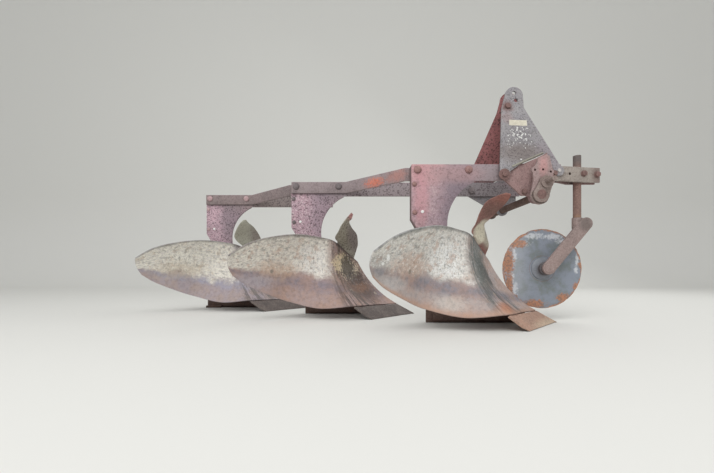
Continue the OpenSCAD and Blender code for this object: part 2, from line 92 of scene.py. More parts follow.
def at(x: float, y: float, z: float, bottom: int = 0) -> Vector:
    """Turns a place measured from a bottom's working origin into the frame's metres.

    Args:
        x: millimetres ahead of the working origin.
        y: millimetres to the land side of the standard's furrow face.
        z: millimetres above the ground.
        bottom: which bottom the origin belongs to, counted from 0 at the front.

    Returns:
        The place in the frame, in metres.
    """
    return (Vector((x, y, z)) + PITCH * bottom + SHIFT) / 1000


def paint(colour: Colour) -> tuple[float, float, float, float]:
    """Turns a colour as the eye names it into the linear values that shaders take.

    Args:
        colour: red, green and blue, 0 to 255.

    Returns:
        The linear red, green, blue and alpha, 0 to 1.
    """
    shares = [channel / 255 for channel in colour]
    linear = [v / 12.92 if v <= 0.04045 else ((v + 0.055) / 1.055) ** 2.4 for v in shares]
    return (*linear, 1.0)


class Wiring:
    """Adds and links shader nodes in one node tree."""

    def __init__(self, tree: bpy.types.NodeTree) -> None:
        """Keeps the tree that the nodes go into."""
        self.tree = tree

    def node(self, kind: str, inputs: dict[int | str, Feed] | None = None,
             **settings: object) -> bpy.types.Node:
        """Adds one node.

        Args:
            kind: the node's type name.
            inputs: what each input is linked to, or its constant.
            settings: attributes to set on it.

        Returns:
            The new node.
        """
        made = self.tree.nodes.new(kind)
        for key, value in settings.items():
            setattr(made, key, value)
        for key, value in (inputs or {}).items():
            if isinstance(value, Socket):
                self.tree.links.new(value, made.inputs[key])
            else:
                made.inputs[key].default_value = value
        return made

    def mix(self, share: Feed, low: Socket | Colour, high: Socket | Colour) -> Socket:
        """Mixes two colours.

        Args:
            share: how much of the second colour shows, 0 to 1.
            low: first colour.
            high: second colour.

        Returns:
            The mixed colour.
        """
        low, high = (c if isinstance(c, Socket) else paint(c) for c in (low, high))
        return self.node("ShaderNodeMix", {0: share, 6: low, 7: high}, data_type="RGBA").outputs[2]

    def maths(self, operation: str, first: Feed, second: Feed = 0.0) -> Socket:
        """Does one sum on two numbers and returns its output."""
        made = self.node("ShaderNodeMath", {0: first, 1: second}, operation=operation)
        return made.outputs[0]

    def times(self, first: Feed, second: Feed) -> Socket:
        """Multiplies two numbers."""
        return self.maths("MULTIPLY", first, second)

    def vectors(self, operation: str, first: Feed, second: Feed = (0.0, 0.0, 0.0)) -> Socket:
        """Does one sum on two vectors and returns its output, a number or a vector."""
        made = self.node("ShaderNodeVectorMath", {0: first, 1: second}, operation=operation)
        return made.outputs["Value" if operation in ("LENGTH", "DOT_PRODUCT") else "Vector"]

    def span(self, value: Feed, low: Feed, high: Feed, start: float = 0.0,
             end: float = 1.0) -> Socket:
        """Maps a number smoothly from one range to another.

        Args:
            value: number to map.
            low: value that gives start.
            high: value that gives end.
            start: result at and below low.
            end: result at and above high.

        Returns:
            The mapped number.
        """
        made = self.node("ShaderNodeMapRange", {
            "Value": value, "From Min": low, "From Max": high, "To Min": start, "To Max": end},
            interpolation_type="SMOOTHSTEP")
        return made.outputs["Result"]

    def near(self, value: Feed, middle: float, far: float, close: float) -> Socket:
        """Mask that is high where a number is near a middle value.

        Args:
            value: the number.
            middle: the middle value.
            far: distance from the middle at which the mask is 0.
            close: distance from the middle at which the mask is 1.

        Returns:
            The mask.
        """
        away = self.maths("ABSOLUTE", self.maths("SUBTRACT", value, middle))
        return self.span(away, far, close)

    def shaken(self, value: Feed, wander: Feed, reach: Feed) -> Socket:
        """Moves a number up and down by a noise.

        Args:
            value: the number.
            wander: the noise, 0 to 1.
            reach: how far the number moves in all.

        Returns:
            The moved number.
        """
        shake = self.times(self.maths("SUBTRACT", wander, 0.5), reach)
        return self.maths("ADD", value, shake)

    def noise(self, vector: Feed, scale: Feed, detail: float = 4.0, rough: float = 0.6) -> Socket:
        """Adds a noise texture.

        Args:
            vector: its coordinate.
            scale: its scale.
            detail: how many finer layers it has.
            rough: how strong the finer layers are.

        Returns:
            The noise, 0 to 1.
        """
        made = self.node("ShaderNodeTexNoise", {"Vector": vector, "Scale": scale,
                                                "Detail": detail, "Roughness": rough})
        return made.outputs[0]

    def stretched(self, vector: Feed, factors: Point, turn: Point = (0.0, 0.0, 0.0)) -> Socket:
        """Scales a coordinate unevenly, so that a texture runs in streaks.

        Args:
            vector: the coordinate.
            factors: its scale along each axis.
            turn: turn about each axis before the scaling, in radians.

        Returns:
            The scaled coordinate.
        """
        made = self.node("ShaderNodeMapping", {"Vector": vector, "Rotation": turn,
                                               "Scale": factors})
        return made.outputs["Vector"]

    def mask(self, effect: bpy.types.NodeTree, **inputs: Feed) -> Socket:
        """Places an effect's node group and returns its mask."""
        return self.node("ShaderNodeGroup", inputs, node_tree=effect).outputs["Mask"]


class SocketKind(Enum):
    """Kinds of socket that the effects have."""

    NUMBER = "NodeSocketFloat"
    VECTOR = "NodeSocketVector"


class Effect(Wiring):
    """A shader node group in the making, which turns its inputs into one mask."""

    def __init__(self, name: str, vectors: tuple[str, ...], numbers: tuple[str, ...]) -> None:
        """Starts the group with its named sockets.

        Args:
            name: name of the group.
            vectors: names of the inputs that are vectors.
            numbers: names of the inputs that are numbers.
        """
        super().__init__(bpy.data.node_groups.new(name, "ShaderNodeTree"))
        sockets = [(label, "INPUT", SocketKind.VECTOR) for label in vectors]
        sockets += [(label, "INPUT", SocketKind.NUMBER) for label in numbers]
        sockets.append(("Mask", "OUTPUT", SocketKind.NUMBER))
        for label, side, kind in sockets:
            self.tree.interface.new_socket(name=label, in_out=side, socket_type=kind.value)
        self.entry = self.node("NodeGroupInput")

    def given(self, label: str) -> Socket:
        """Gives what comes in by an input."""
        return self.entry.outputs[label]

    def put(self, mask: Socket) -> bpy.types.NodeTree:
        """Puts the mask out and returns the finished group."""
        self.node("NodeGroupOutput", {"Mask": mask})
        return self.tree


class Effects:
    """Weathering effects and a painted corner shade that several finishes share, each a node group
    built once.
    """

    def __init__(self) -> None:
        """Builds every group."""
        self.patches = self.build_patches()
        self.pits = self.build_pits()
        self.rub = self.build_rub()
        self.corner_shade = self.build_corner_shade()
        self.spot = self.build_spot()

    def build_patches(self) -> bpy.types.NodeTree:
        """Irregular patches, as where paint or soil has come away.

        Returns:
            The effect's node group.
        """
        effect = Effect("weather patches", ("Vector",), ("Scale", "Low", "High"))
        value = effect.noise(effect.given("Vector"), effect.given("Scale"), 7.0, 0.66)
        return effect.put(effect.span(value, effect.given("Low"), effect.given("High")))

    def build_pits(self) -> bpy.types.NodeTree:
        """Small dark pits that rust leaves in a plate.

        Returns:
            The effect's node group.
        """
        effect = Effect("rust pits", ("Vector",), ("Scale", "Spread"))
        vector, scale = effect.given("Vector"), effect.given("Scale")
        cells = effect.node("ShaderNodeTexVoronoi", {"Vector": vector, "Scale": scale},
                            feature="F1")
        bed = effect.noise(vector, effect.times(scale, 0.18), 3.0)
        reach = effect.times(effect.given("Spread"), bed)
        inside = effect.maths("SUBTRACT", reach, cells.outputs["Distance"])
        return effect.put(effect.span(inside, -0.05, 0.12))

    def build_rub(self) -> bpy.types.NodeTree:
        """Edges rubbed bare: the mask is high where the surface turns within a radius.

        Returns:
            The effect's node group.
        """
        effect = Effect("edge rub", (), ("Radius",))
        bevel = effect.node("ShaderNodeBevel", {"Radius": effect.given("Radius")}, samples=6)
        surface = effect.node("ShaderNodeNewGeometry")
        dot = effect.vectors("DOT_PRODUCT", bevel.outputs["Normal"], surface.outputs["Normal"])
        return effect.put(effect.span(dot, 0.995, 0.85))

    def build_corner_shade(self) -> bpy.types.NodeTree:
        """Painted shade: darkening in corners and against neighbours, where less light reaches.

        Returns:
            The effect's node group.
        """
        effect = Effect("painted corner shade", (), ("Reach",))
        shade = effect.node("ShaderNodeAmbientOcclusion", {"Distance": effect.given("Reach")},
                            samples=8)
        return effect.put(effect.span(shade.outputs["AO"], 0.85, 0.25))

    def build_spot(self) -> bpy.types.NodeTree:
        """One local stain, flake, painted shadow or painted highlight with a ragged outline, at a
        place on the part.

        Returns:
            The effect's node group.
        """
        effect = Effect("local spot", ("Vector", "Centre", "Size"), ("Ragged", "Grain", "Soft"))
        vector, soft = effect.given("Vector"), effect.given("Soft")
        offset = effect.vectors("SUBTRACT", vector, effect.given("Centre"))
        scaled = effect.vectors("DIVIDE", offset, effect.given("Size"))
        wander = effect.noise(vector, effect.given("Grain"), 5.0, 0.65)
        edge = effect.shaken(effect.vectors("LENGTH", scaled), wander, effect.given("Ragged"))
        return effect.put(effect.span(edge, effect.maths("ADD", 1.0, soft),
                                      effect.maths("SUBTRACT", 1.0, soft)))


@dataclass(frozen=True)
class Spot:
    """A local stain, patch or flake on a finish, or a painted shadow or highlight.

    Attributes:
        place: middle of the spot, and the number of its bottom where that isn't the front one.
        size: half-axes of the spot.
        colour: colour of the spot.
        ragged: how far its outline wanders, as a share of its size.
        strength: how much of it covers what lies below.
        grain: scale of the noise that breaks its outline.
        soft: how gradually it fades out, as a share of its size.
    """

    place: tuple[float, ...]
    size: Point
    colour: Colour
    ragged: float = 0.9
    strength: float = 0.9
    grain: float = 45.0
    soft: float = 0.6


class Coat(Wiring):
    """A material in the making."""

    def __init__(self, name: str, effects: Effects) -> None:
        """Starts the material with the surface's coordinate.

        Args:
            name: name of the material.
            effects: the shared weathering and painted-shade groups.
        """
        self.material = bpy.data.materials.new(name)
        self.material.use_nodes = True
        self.material.node_tree.nodes.clear()
        super().__init__(self.material.node_tree)
        self.effects = effects
        self.place = self.node("ShaderNodeTexCoord").outputs["Object"]

    def patches(self, scale: float, low: float, high: float,
                vector: Socket | None = None) -> Socket:
        """Places irregular patches.

        Args:
            scale: scale of their noise.
            low: noise at which a patch begins.
            high: noise from which it covers all.
            vector: coordinate to use in place of the surface's own.

        Returns:
            Their mask.
        """
        vector = self.place if vector is None else vector
        return self.mask(self.effects.patches, Vector=vector, Scale=scale, Low=low, High=high)

    def pits(self, scale: float, spread: float) -> Socket:
        """Places rust pits and returns their mask."""
        return self.mask(self.effects.pits, Vector=self.place, Scale=scale, Spread=spread)

    def over(self, below: Socket | Colour, above: Socket | Colour, mask: Socket,
             share: Feed) -> Socket:
        """Lays a share of one colour over another by a mask."""
        return self.mix(self.times(mask, share), below, above)

    def spotted(self, colour: Socket, spots: tuple[Spot, ...]) -> Socket:
        """Lays local spots over a colour.

        Args:
            colour: colour below the spots.
            spots: the spots, from the lowest up.

        Returns:
            The colour with the spots on it.
        """
        for spot in spots:
            mask = self.mask(self.effects.spot, Vector=self.place, Centre=at(*spot.place),
                             Size=tuple(half / 1000 for half in spot.size), Ragged=spot.ragged,
                             Grain=spot.grain, Soft=spot.soft)
            colour = self.over(colour, spot.colour, mask, spot.strength)
        return colour

    def finish(self, colour: Socket, rough: Socket, metal: Feed, height: Socket, strength: float,
               distance: float, specular: float = 0.5) -> bpy.types.Material:
        """Ends the material with its shader.

        Args:
            colour: colour of the surface.
            rough: its roughness.
            metal: how metallic it is.
            height: height of its relief.
            strength: strength of the relief.
            distance: depth of the relief, in metres.
            specular: strength of its plain reflection.

        Returns:
            The finished material.
        """
        bump = self.node("ShaderNodeBump", {"Strength": strength, "Distance": distance,
                                            "Height": height})
        shader = self.node("ShaderNodeBsdfPrincipled", {
            "Base Color": colour, "Roughness": rough, "Metallic": metal,
            "Specular IOR Level": specular, "Normal": bump.outputs["Normal"]})
        self.node("ShaderNodeOutputMaterial", {"Surface": shader.outputs["BSDF"]})
        return self.material


@dataclass(frozen=True)
class Worn:
    """A painted or bare steel finish that has stood outdoors for years.

    Attributes:
        name: name of the material.
        base: main colour.
        fade: second colour, in broad patches.
        rust: rust colour.
        deep: darkest rust and dirt, and the colour of the painted corner shade.
        bare: colour of rubbed edges.
        rusted: how much rust shows, 0 to 1.
        speckle: how far the dark pits spread, 0 to 1.
        flecked: how strongly small light flecks show, 0 to 1.
        gritty: how strongly fine dark grit shows, 0 to 1.
        patch: scale of the broad patches.
        rough: mean roughness.
        metal: how metallic it looks.
    """

    name: str
    base: Colour
    fade: Colour
    rust: Colour
    deep: Colour
    bare: Colour
    rusted: float = 0.4
    speckle: float = 0.5
    flecked: float = 0.3
    gritty: float = 0.3
    patch: float = 6.0
    rough: float = 0.78
    metal: float = 0.0

    def build(self, effects: Effects) -> bpy.types.Material:
        """Builds the material.

        Args:
            effects: the shared weathering and painted-shade groups.

        Returns:
            The finished material.
        """
        coat = Coat(self.name, effects)
        broad = coat.patches(self.patch, 0.38, 0.62)
        fine = coat.patches(self.patch * 7, 0.42, 0.66)
        colour = coat.mix(broad, self.base, self.fade)
        colour = coat.over(colour, coat.mix(0.55, self.fade, self.bare), fine, 0.3)
        rust_from = 0.72 - 0.34 * self.rusted
        rust = coat.patches(self.patch * 2.6, rust_from, rust_from + 0.1)
        tint = coat.mix(coat.noise(coat.place, 60.0, 5.0, 0.7), self.deep, self.rust)
        colour = coat.over(colour, tint, rust, 0.8)
        turned = coat.stretched(coat.place, (1.0, 1.0, 1.0), (0.7, 0.4, 0.2))
        colour = coat.over(colour, self.bare, coat.patches(150.0, 0.52, 0.62, turned),
                           self.flecked)
        colour = coat.spotted(colour, SPOTS.get(self.name, ()))
        colour = coat.over(colour, self.deep, coat.patches(110.0, 0.5, 0.62), self.gritty)
        pits = coat.pits(150.0, self.speckle)
        colour = coat.over(colour, self.deep, pits, 0.6)
        rub = coat.mask(effects.rub, Radius=0.004)
        colour = coat.over(colour, self.bare, rub, coat.span(fine, 0.0, 1.0, 0.25, 0.75))
        # Painted shade: corners and places against neighbours are darkened toward the deep colour
        colour = coat.over(colour, self.deep, coat.mask(effects.corner_shade, Reach=0.03), 0.55)
        rough = coat.span(broad, 0.0, 1.0, max(0.05, self.rough - 0.1), min(1.0, self.rough + 0.1))
        grain = coat.noise(coat.place, 320.0, 3.0, 0.6)
        raised = coat.maths("ADD", coat.times(grain, 0.5), coat.times(fine, 0.6))
        height = coat.maths("SUBTRACT", raised, pits)
        return coat.finish(colour, rough, self.metal, height, 0.45, 0.0012, 0.35)


@dataclass(frozen=True)
class SoilFace:
    """Face of a moldboard: dried pale soil above, bare brown steel below, polished streaks.

    The surface carries a "flow" attribute: how far along the board, how high on it, and a
    number of its own for each board.

    Attributes:
        name: name of the material.
        pale: dried soil and lime.
        bright: lightest crust, and the colour of the painted glints.
        steel: bare mauve-brown steel.
        shade: darker band of steel.
        streak: dark polished streaks by the shin.
        rust: orange-brown rust.
        pale_from: height on the board where the pale part begins.
        bright_at: where along the board the crust is lightest.
        streaked: how strongly the polished streaks show, 0 to 1.
        rimmed: how strongly the lower edge rusts orange, 0 to 1.
    """

    name: str
    pale: Colour
    bright: Colour
    steel: Colour
    shade: Colour
    streak: Colour
    rust: Colour
    pale_from: float
    bright_at: float
    streaked: float = 1.0
    rimmed: float = 1.0

    def build(self, effects: Effects) -> bpy.types.Material:
        """Builds the material.

        Args:
            effects: the shared weathering and painted-shade groups.

        Returns:
            The finished material.
        """
        coat = Coat(self.name, effects)
        flow = coat.node("ShaderNodeAttribute", attribute_name="flow").outputs["Vector"]
        parts = coat.node("ShaderNodeSeparateXYZ", {0: flow})
        along, high = parts.outputs["X"], parts.outputs["Y"]
        wander = coat.noise(coat.place, 9.0, 5.0, 0.6)
        crust = coat.patches(95.0, 0.42, 0.6)
        # Steel, with a darker band across its middle
        colour = coat.over(self.steel, self.shade, coat.near(high, 0.3, 0.14, 0.02), 0.8)
        colour = coat.over(colour, self.rust, coat.patches(16.0, 0.38, 0.62), 0.35)
        # Pale soil above a wandering line
        line = coat.shaken(high, wander, 0.5)
        pale = coat.span(line, self.pale_from - 0.06, self.pale_from + 0.08)
        soil = coat.over(self.pale, self.steel, crust, 0.35)
        brushed = coat.noise(coat.stretched(flow, (11.0, 30.0, 1.0)), 2.4, 5.0, 0.72)
        soil = coat.mix(coat.span(brushed, 0.5, 0.66, 0.0, 0.42), soil, self.shade)
        speck = coat.patches(1.0, 0.5, 0.62, coat.stretched(flow, (30.0, 19.0, 30.0)))
        soil = coat.over(soil, self.streak, speck, 0.42)
        lightest = coat.times(coat.near(along, self.bright_at, 0.16, 0.03),
                              coat.near(high, 0.64, 0.34, 0.1))
        chalky = coat.span(coat.noise(coat.place, 130.0, 5.0, 0.7), 0.4, 0.58)
        soil = coat.over(soil, self.bright, lightest, chalky)
        soil = coat.over(soil, self.rust, coat.patches(24.0, 0.52, 0.64), 0.4)
        scratched = coat.noise(coat.stretched(flow, (46.0, 3.0, 1.0)), 2.6, 4.0, 0.7)
        soil = coat.over(soil, self.streak, coat.span(scratched, 0.56, 0.66),
                         coat.times(lightest, 0.75))
        colour = coat.over(colour, soil, pale, coat.span(along, 0.27, 0.38))
        # Polished streaks and creases that run up the shin with the flow of the soil
        combed = coat.noise(coat.stretched(flow, (26.0, 1.1, 1.0)), 2.2, 4.0)
        streaks = coat.times(coat.span(combed, 0.47, 0.56), coat.times(
            coat.span(along, 0.36, 0.26), coat.span(along, 0.1, 0.17)))
        colour = coat.over(colour, self.streak, streaks, 0.85 * self.streaked)
        creased = coat.noise(coat.stretched(flow, (64.0, 1.6, 1.0)), 2.0, 2.0)
        creases = coat.times(coat.near(creased, 0.5, 0.03, 0.008), coat.times(
            coat.span(along, 0.36, 0.28), coat.span(along, 0.04, 0.12)))
        colour = coat.over(colour, self.streak, creases, 0.55)
        colour = coat.spotted(colour, SPOTS.get(self.name, ()))
        colour = coat.over(colour, self.streak, coat.patches(60.0, 0.46, 0.62), 0.2)
        # Painted glints: small light flecks, most of them in the soil
        turned = coat.stretched(coat.place, (1.0, 1.0, 1.0), (0.5, 0.9, 0.1))
        glints_on_soil = coat.times(pale, coat.span(along, 0.27, 0.38, 0.1, 0.5))
        colour = coat.over(colour, self.bright, coat.patches(85.0, 0.53, 0.62, turned),
                           coat.maths("ADD", glints_on_soil, 0.05))
        # Orange rust along the lower edge, dark crust along the upper one
        low_edge = coat.span(coat.shaken(high, wander, 0.12), 0.1, 0.0)
        colour = coat.over(colour, self.rust, low_edge, 0.6 * self.rimmed)
        top_edge = coat.span(coat.shaken(high, wander, 0.1), 0.95, 1.0)
        colour = coat.over(colour, self.streak, top_edge, 0.6)
        pits = coat.pits(170.0, 0.42)
        colour = coat.over(colour, self.shade, pits, 0.5)
        colour = coat.over(colour, self.shade, coat.mask(effects.rub, Radius=0.005), 0.4)
        rough = coat.span(streaks, 0.0, 1.0, 0.8, 0.42)
        metal = coat.span(streaks, 0.0, 1.0, 0.0, 0.35)
        height = coat.maths("SUBTRACT", coat.times(crust, 0.7), pits)
        return coat.finish(colour, rough, metal, height, 0.4, 0.0015, 0.35)


@dataclass(frozen=True)
class DiscFace:
    """Coulter disc: blue-grey steel that flakes white and rusts orange from the rim inwards.

    Attributes:
        name: name of the material.
        centre: middle of the disc, in the frame's metres.
        radius: radius of the disc, in metres.
        steel: clean steel.
        dull: second colour, in patches.
        rust: orange rust.
        brown: dark rust, pits and the groove.
        flake: white flakes.
        rusted: X, Z and half-axes of the rusted places, from the disc's middle.
        flaked: the same of the white flakes.
    """

    name: str
    centre: Vector
    radius: float
    steel: Colour = (142, 149, 162)
    dull: Colour = (126, 134, 136)
    rust: Colour = (190, 132, 98)
    brown: Colour = (134, 108, 94)
    flake: Colour = (216, 219, 224)
    rusted: tuple[tuple[float, float, float, float], ...] = (
        (-168, 30, 30, 68), (-122, 122, 44, 20), (-160, -84, 16, 66), (-40, -172, 50, 20),
        (104, -142, 32, 20), (168, -92, 18, 20))
    flaked: tuple[tuple[float, float, float, float], ...] = (
        (-44, 160, 40, 13), (54, 156, 42, 13), (-104, 124, 34, 12), (172, 40, 9, 30),
        (166, -4, 8, 18), (-140, -104, 16, 32), (-136, 60, 9, 40), (98, 134, 26, 10),
        (-146, -50, 8, 30))

    def blots(self, coat: Coat, places: tuple[tuple[float, float, float, float], ...],
              mask: Feed, **outline: float) -> Feed:
        """Adds ragged blots to a mask.

        Args:
            coat: the material in the making.
            places: X, Z and half-axes of the blots.
            mask: the mask without them.
            outline: inputs of the spot effect that shape their outline.

        Returns:
            The mask with the blots.
        """
        for x, z, wide, high in places:
            blot = coat.mask(coat.effects.spot, Vector=coat.place,
                             Centre=self.centre + Vector((x, 0, z)) / 1000,
                             Size=(wide / 1000, 0.05, high / 1000), **outline)
            mask = coat.maths("MAXIMUM", mask, blot)
        return mask

    def build(self, effects: Effects) -> bpy.types.Material:
        """Builds the material.

        Args:
            effects: the shared weathering and painted-shade groups.

        Returns:
            The finished material.
        """
        coat = Coat(self.name, effects)
        offset = coat.vectors("SUBTRACT", coat.place, self.centre)
        flat = coat.stretched(offset, (1.0, 0.0, 1.0))
        out_at = coat.maths("DIVIDE", coat.vectors("LENGTH", flat), self.radius)
        parts = coat.node("ShaderNodeSeparateXYZ", {0: flat})
        ahead = coat.maths("DIVIDE", parts.outputs["X"], self.radius)
        colour = coat.mix(coat.patches(18.0, 0.4, 0.64), self.steel, self.dull)
        colour = coat.over(colour, self.brown, coat.near(out_at, 0.32, 0.014, 0.004), 0.45)
        flakes = self.blots(coat, self.flaked, 0.0, Ragged=4.2, Grain=110.0, Soft=0.5)
        colour = coat.over(colour, self.flake, flakes, 0.8)
        colour = coat.over(colour, self.flake, coat.span(ahead, -0.2, -0.7), 0.25)
        wander = coat.noise(coat.place, 22.0, 6.0, 0.65)
        rim = coat.span(coat.shaken(out_at, wander, 0.3), 0.93, 0.99)
        rim = self.blots(coat, self.rusted, rim, Ragged=2.5, Grain=95.0, Soft=0.35)
        mottled = coat.span(coat.noise(coat.place, 90.0, 5.0, 0.7), 0.38, 0.58)
        colour = coat.over(colour, coat.mix(mottled, self.brown, self.rust), rim, 0.9)
        colour = coat.over(colour, self.brown, coat.pits(140.0, 0.4), 0.4)
        rough = coat.span(rim, 0.0, 1.0, 0.55, 0.9)
        metal = coat.span(rim, 0.0, 1.0, 0.1, 0.0)
        height = coat.maths("ADD", rim, coat.times(flakes, 0.5))
        return coat.finish(colour, rough, metal, height, 0.4, 0.0015)


RUST = (146, 100, 80)
DEEP = (76, 60, 56)
BARE = (190, 178, 172)
SPOTS: dict[str, tuple[Spot, ...]] = {
    "front_standard_paint": (
        Spot((340, 0, 720), (120, 50, 60), (208, 152, 152), strength=0.6),
        Spot((300, 0, 600), (34, 50, 140), (198, 142, 148), 1.4, 0.55),
        Spot((640, 0, 705), (260, 50, 70), (152, 140, 144), strength=0.85),
        Spot((940, 0, 705), (300, 50, 70), (146, 136, 138), strength=0.9),
        Spot((480, 0, 530), (80, 50, 220), (136, 124, 134), 0.8, 0.85),
        Spot((480, 0, 700), (100, 50, 40), (182, 148, 148), 0.8, 0.6),
    ),
    "middle_standard_paint": (
        Spot((425, 0, 560, 1), (60, 50, 220), (158, 140, 150), 0.7, 0.7),
        Spot((500, 0, 690, 1), (120, 50, 60), (144, 130, 138), 0.7, 0.7),
        Spot((780, 0, 700, 1), (280, 50, 90), (156, 146, 148), 0.5, 0.96),
        Spot((1290, 0, 700, 1), (300, 50, 90), (140, 134, 136), 0.5, 0.96),
    ),
    "rear_standard_paint": (
        Spot((430, 0, 600, 2), (80, 50, 240), (138, 126, 133), 0.7, 0.75),
        Spot((800, 0, 700, 2), (340, 50, 90), (142, 132, 128), 0.5, 0.96),
    ),
    "bar_paint": (
        Spot((-70, 460, 716), (120, 120, 50), (158, 118, 104), 1.4, 0.6),
    ),
    "front_bar_paint": (
        Spot((46, 130, 706), (82, 100, 36), (222, 120, 88), 1.3, 0.92, grain=90.0, soft=0.35),
        Spot((190, 60, 716), (50, 100, 30), (184, 124, 112), 1.6, 0.6),
    ),
    "near_mast_paint": (
        Spot((764, 140, 1080), (28, 200, 30), (124, 86, 80), 1.0, 0.7),
        Spot((750, 100, 1010), (30, 200, 35), (154, 128, 126), 1.4, 0.5),
        Spot((780, 40, 890), (90, 200, 90), (134, 130, 132), 1.8, 0.5, grain=70.0),
        Spot((770, 0, 800), (120, 200, 50), (126, 114, 108), 1.4, 0.6),
        Spot((900, 0, 780), (50, 200, 90), (150, 140, 148), 1.0, 0.5),
    ),
    "quadrant_paint": (
        Spot((844, -56, 722), (20, 50, 44), (192, 146, 144), 1.4, 0.75, grain=80.0),
    ),
    "hub_steel": (
        # Painted shadow: dark patch on the hub's neck, in the shade of the yoke arm's end
        Spot((908, 48, 257), (60, 20, 60), (88, 78, 76), 0.4, 0.9),
    ),
    "clamp_paint": (
        Spot((1140, 10, 700), (30, 60, 60), (128, 108, 104), 0.8, 0.7),
    ),
    "shank_paint": (
        Spot((1053, 39.5, 478), (40, 40, 30), (160, 130, 100), 0.5, 0.8),
        Spot((1053, 39.5, 790), (40, 40, 50), (104, 98, 96), 0.5, 0.9),
    ),
    "coulter_paint": (
        Spot((1080, 14, 468), (30, 60, 34), (112, 102, 98), 0.8, 0.8),
    ),
    "front_share_steel": (
        Spot((880, -60, 8), (120, 200, 16), (206, 188, 164), 0.8, 0.7, soft=0.8),
    ),
    "red_leaf": (
        # Painted highlight: orange-pink sheen near the leaf's tip
        Spot((602, -262, 538), (50, 60, 22), (176, 114, 100), 0.8, 0.4),
        Spot((568, -50, 424), (52, 80, 54), (222, 216, 196), 0.8, 0.97, soft=0.3),
        Spot((612, -20, 420), (14, 100, 40), (132, 130, 130), 0.8, 0.85, soft=0.5),
        Spot((620, 0, 385), (30, 100, 30), (186, 180, 164), 0.8, 0.8),
    ),
    "grey_leaf": (
        Spot((620, -120, 430, 1), (45, 300, 90), (142, 132, 130), 0.5, 0.85, soft=0.4),
        Spot((606, -248, 520, 1), (30, 100, 24), (176, 120, 120), 0.6, 0.85),
    ),
    "olive_leaf": (
        Spot((625, -60, 440, 2), (50, 300, 90), (148, 138, 132), 0.6, 0.85, soft=0.4),
    ),
    "front_board_face": (
        Spot((624, -180, 92), (50, 80, 22), (190, 124, 88), 1.4, 0.7),
        Spot((209, -278, 262), (100, 100, 50), (196, 162, 142), 1.8, 0.55, grain=30.0),
        Spot((60, -400, 240), (50, 200, 60), (158, 154, 152), 1.6, 0.5, grain=40.0),
        Spot((130, -330, 200), (60, 200, 30), (196, 192, 190), 1.4, 0.6),
        Spot((384, -197, 108), (60, 200, 30), (208, 200, 192), 1.4, 0.6),
        Spot((535, -114, 290), (40, 300, 100), (112, 120, 118), 1.6, 0.75, grain=24.0),
        Spot((560, -120, 220), (30, 300, 90), (96, 102, 98), 1.8, 0.6, grain=30.0),
        Spot((114, -389, 295), (6, 30, 12), (244, 244, 242), 0.8, 1.0, soft=0.3),
        Spot((94, -392, 273), (6, 30, 6), (240, 240, 236), 0.8, 1.0, soft=0.3),
    ),
    "middle_board_face": (
        Spot((225, -258, 245, 1), (110, 100, 45), (204, 176, 154), 1.9, 0.6, grain=30.0),
        Spot((600, -60, 240, 1), (100, 150, 140), (126, 104, 90), 1.4, 0.75, grain=30.0),
        Spot((545, -60, 285, 1), (50, 100, 50), (222, 204, 170), 2.6, 0.85, grain=85.0, soft=0.3),
        Spot((590, -60, 250, 1), (50, 100, 50), (226, 212, 186), 2.8, 0.8, grain=95.0, soft=0.3),
        Spot((575, -50, 262, 1), (40, 100, 70), (52, 46, 44), 2.8, 0.85, grain=75.0, soft=0.3),
        Spot((630, -50, 205, 1), (50, 100, 50), (60, 52, 50), 2.6, 0.7, grain=70.0, soft=0.3),
        Spot((680, -60, 150, 1), (110, 100, 70), (98, 84, 79), 1.6, 0.85, grain=40.0),
        Spot((650, -60, 155, 1), (50, 100, 25), (150, 114, 92), 2.2, 0.5, grain=60.0),
        Spot((120, -330, 190, 1), (100, 200, 35), (170, 168, 180), 1.2, 0.6),
    ),
    "rear_board_face": (
        Spot((190, -250, 250, 2), (130, 120, 45), (198, 182, 160), 1.8, 0.55, grain=40.0),
    ),
}
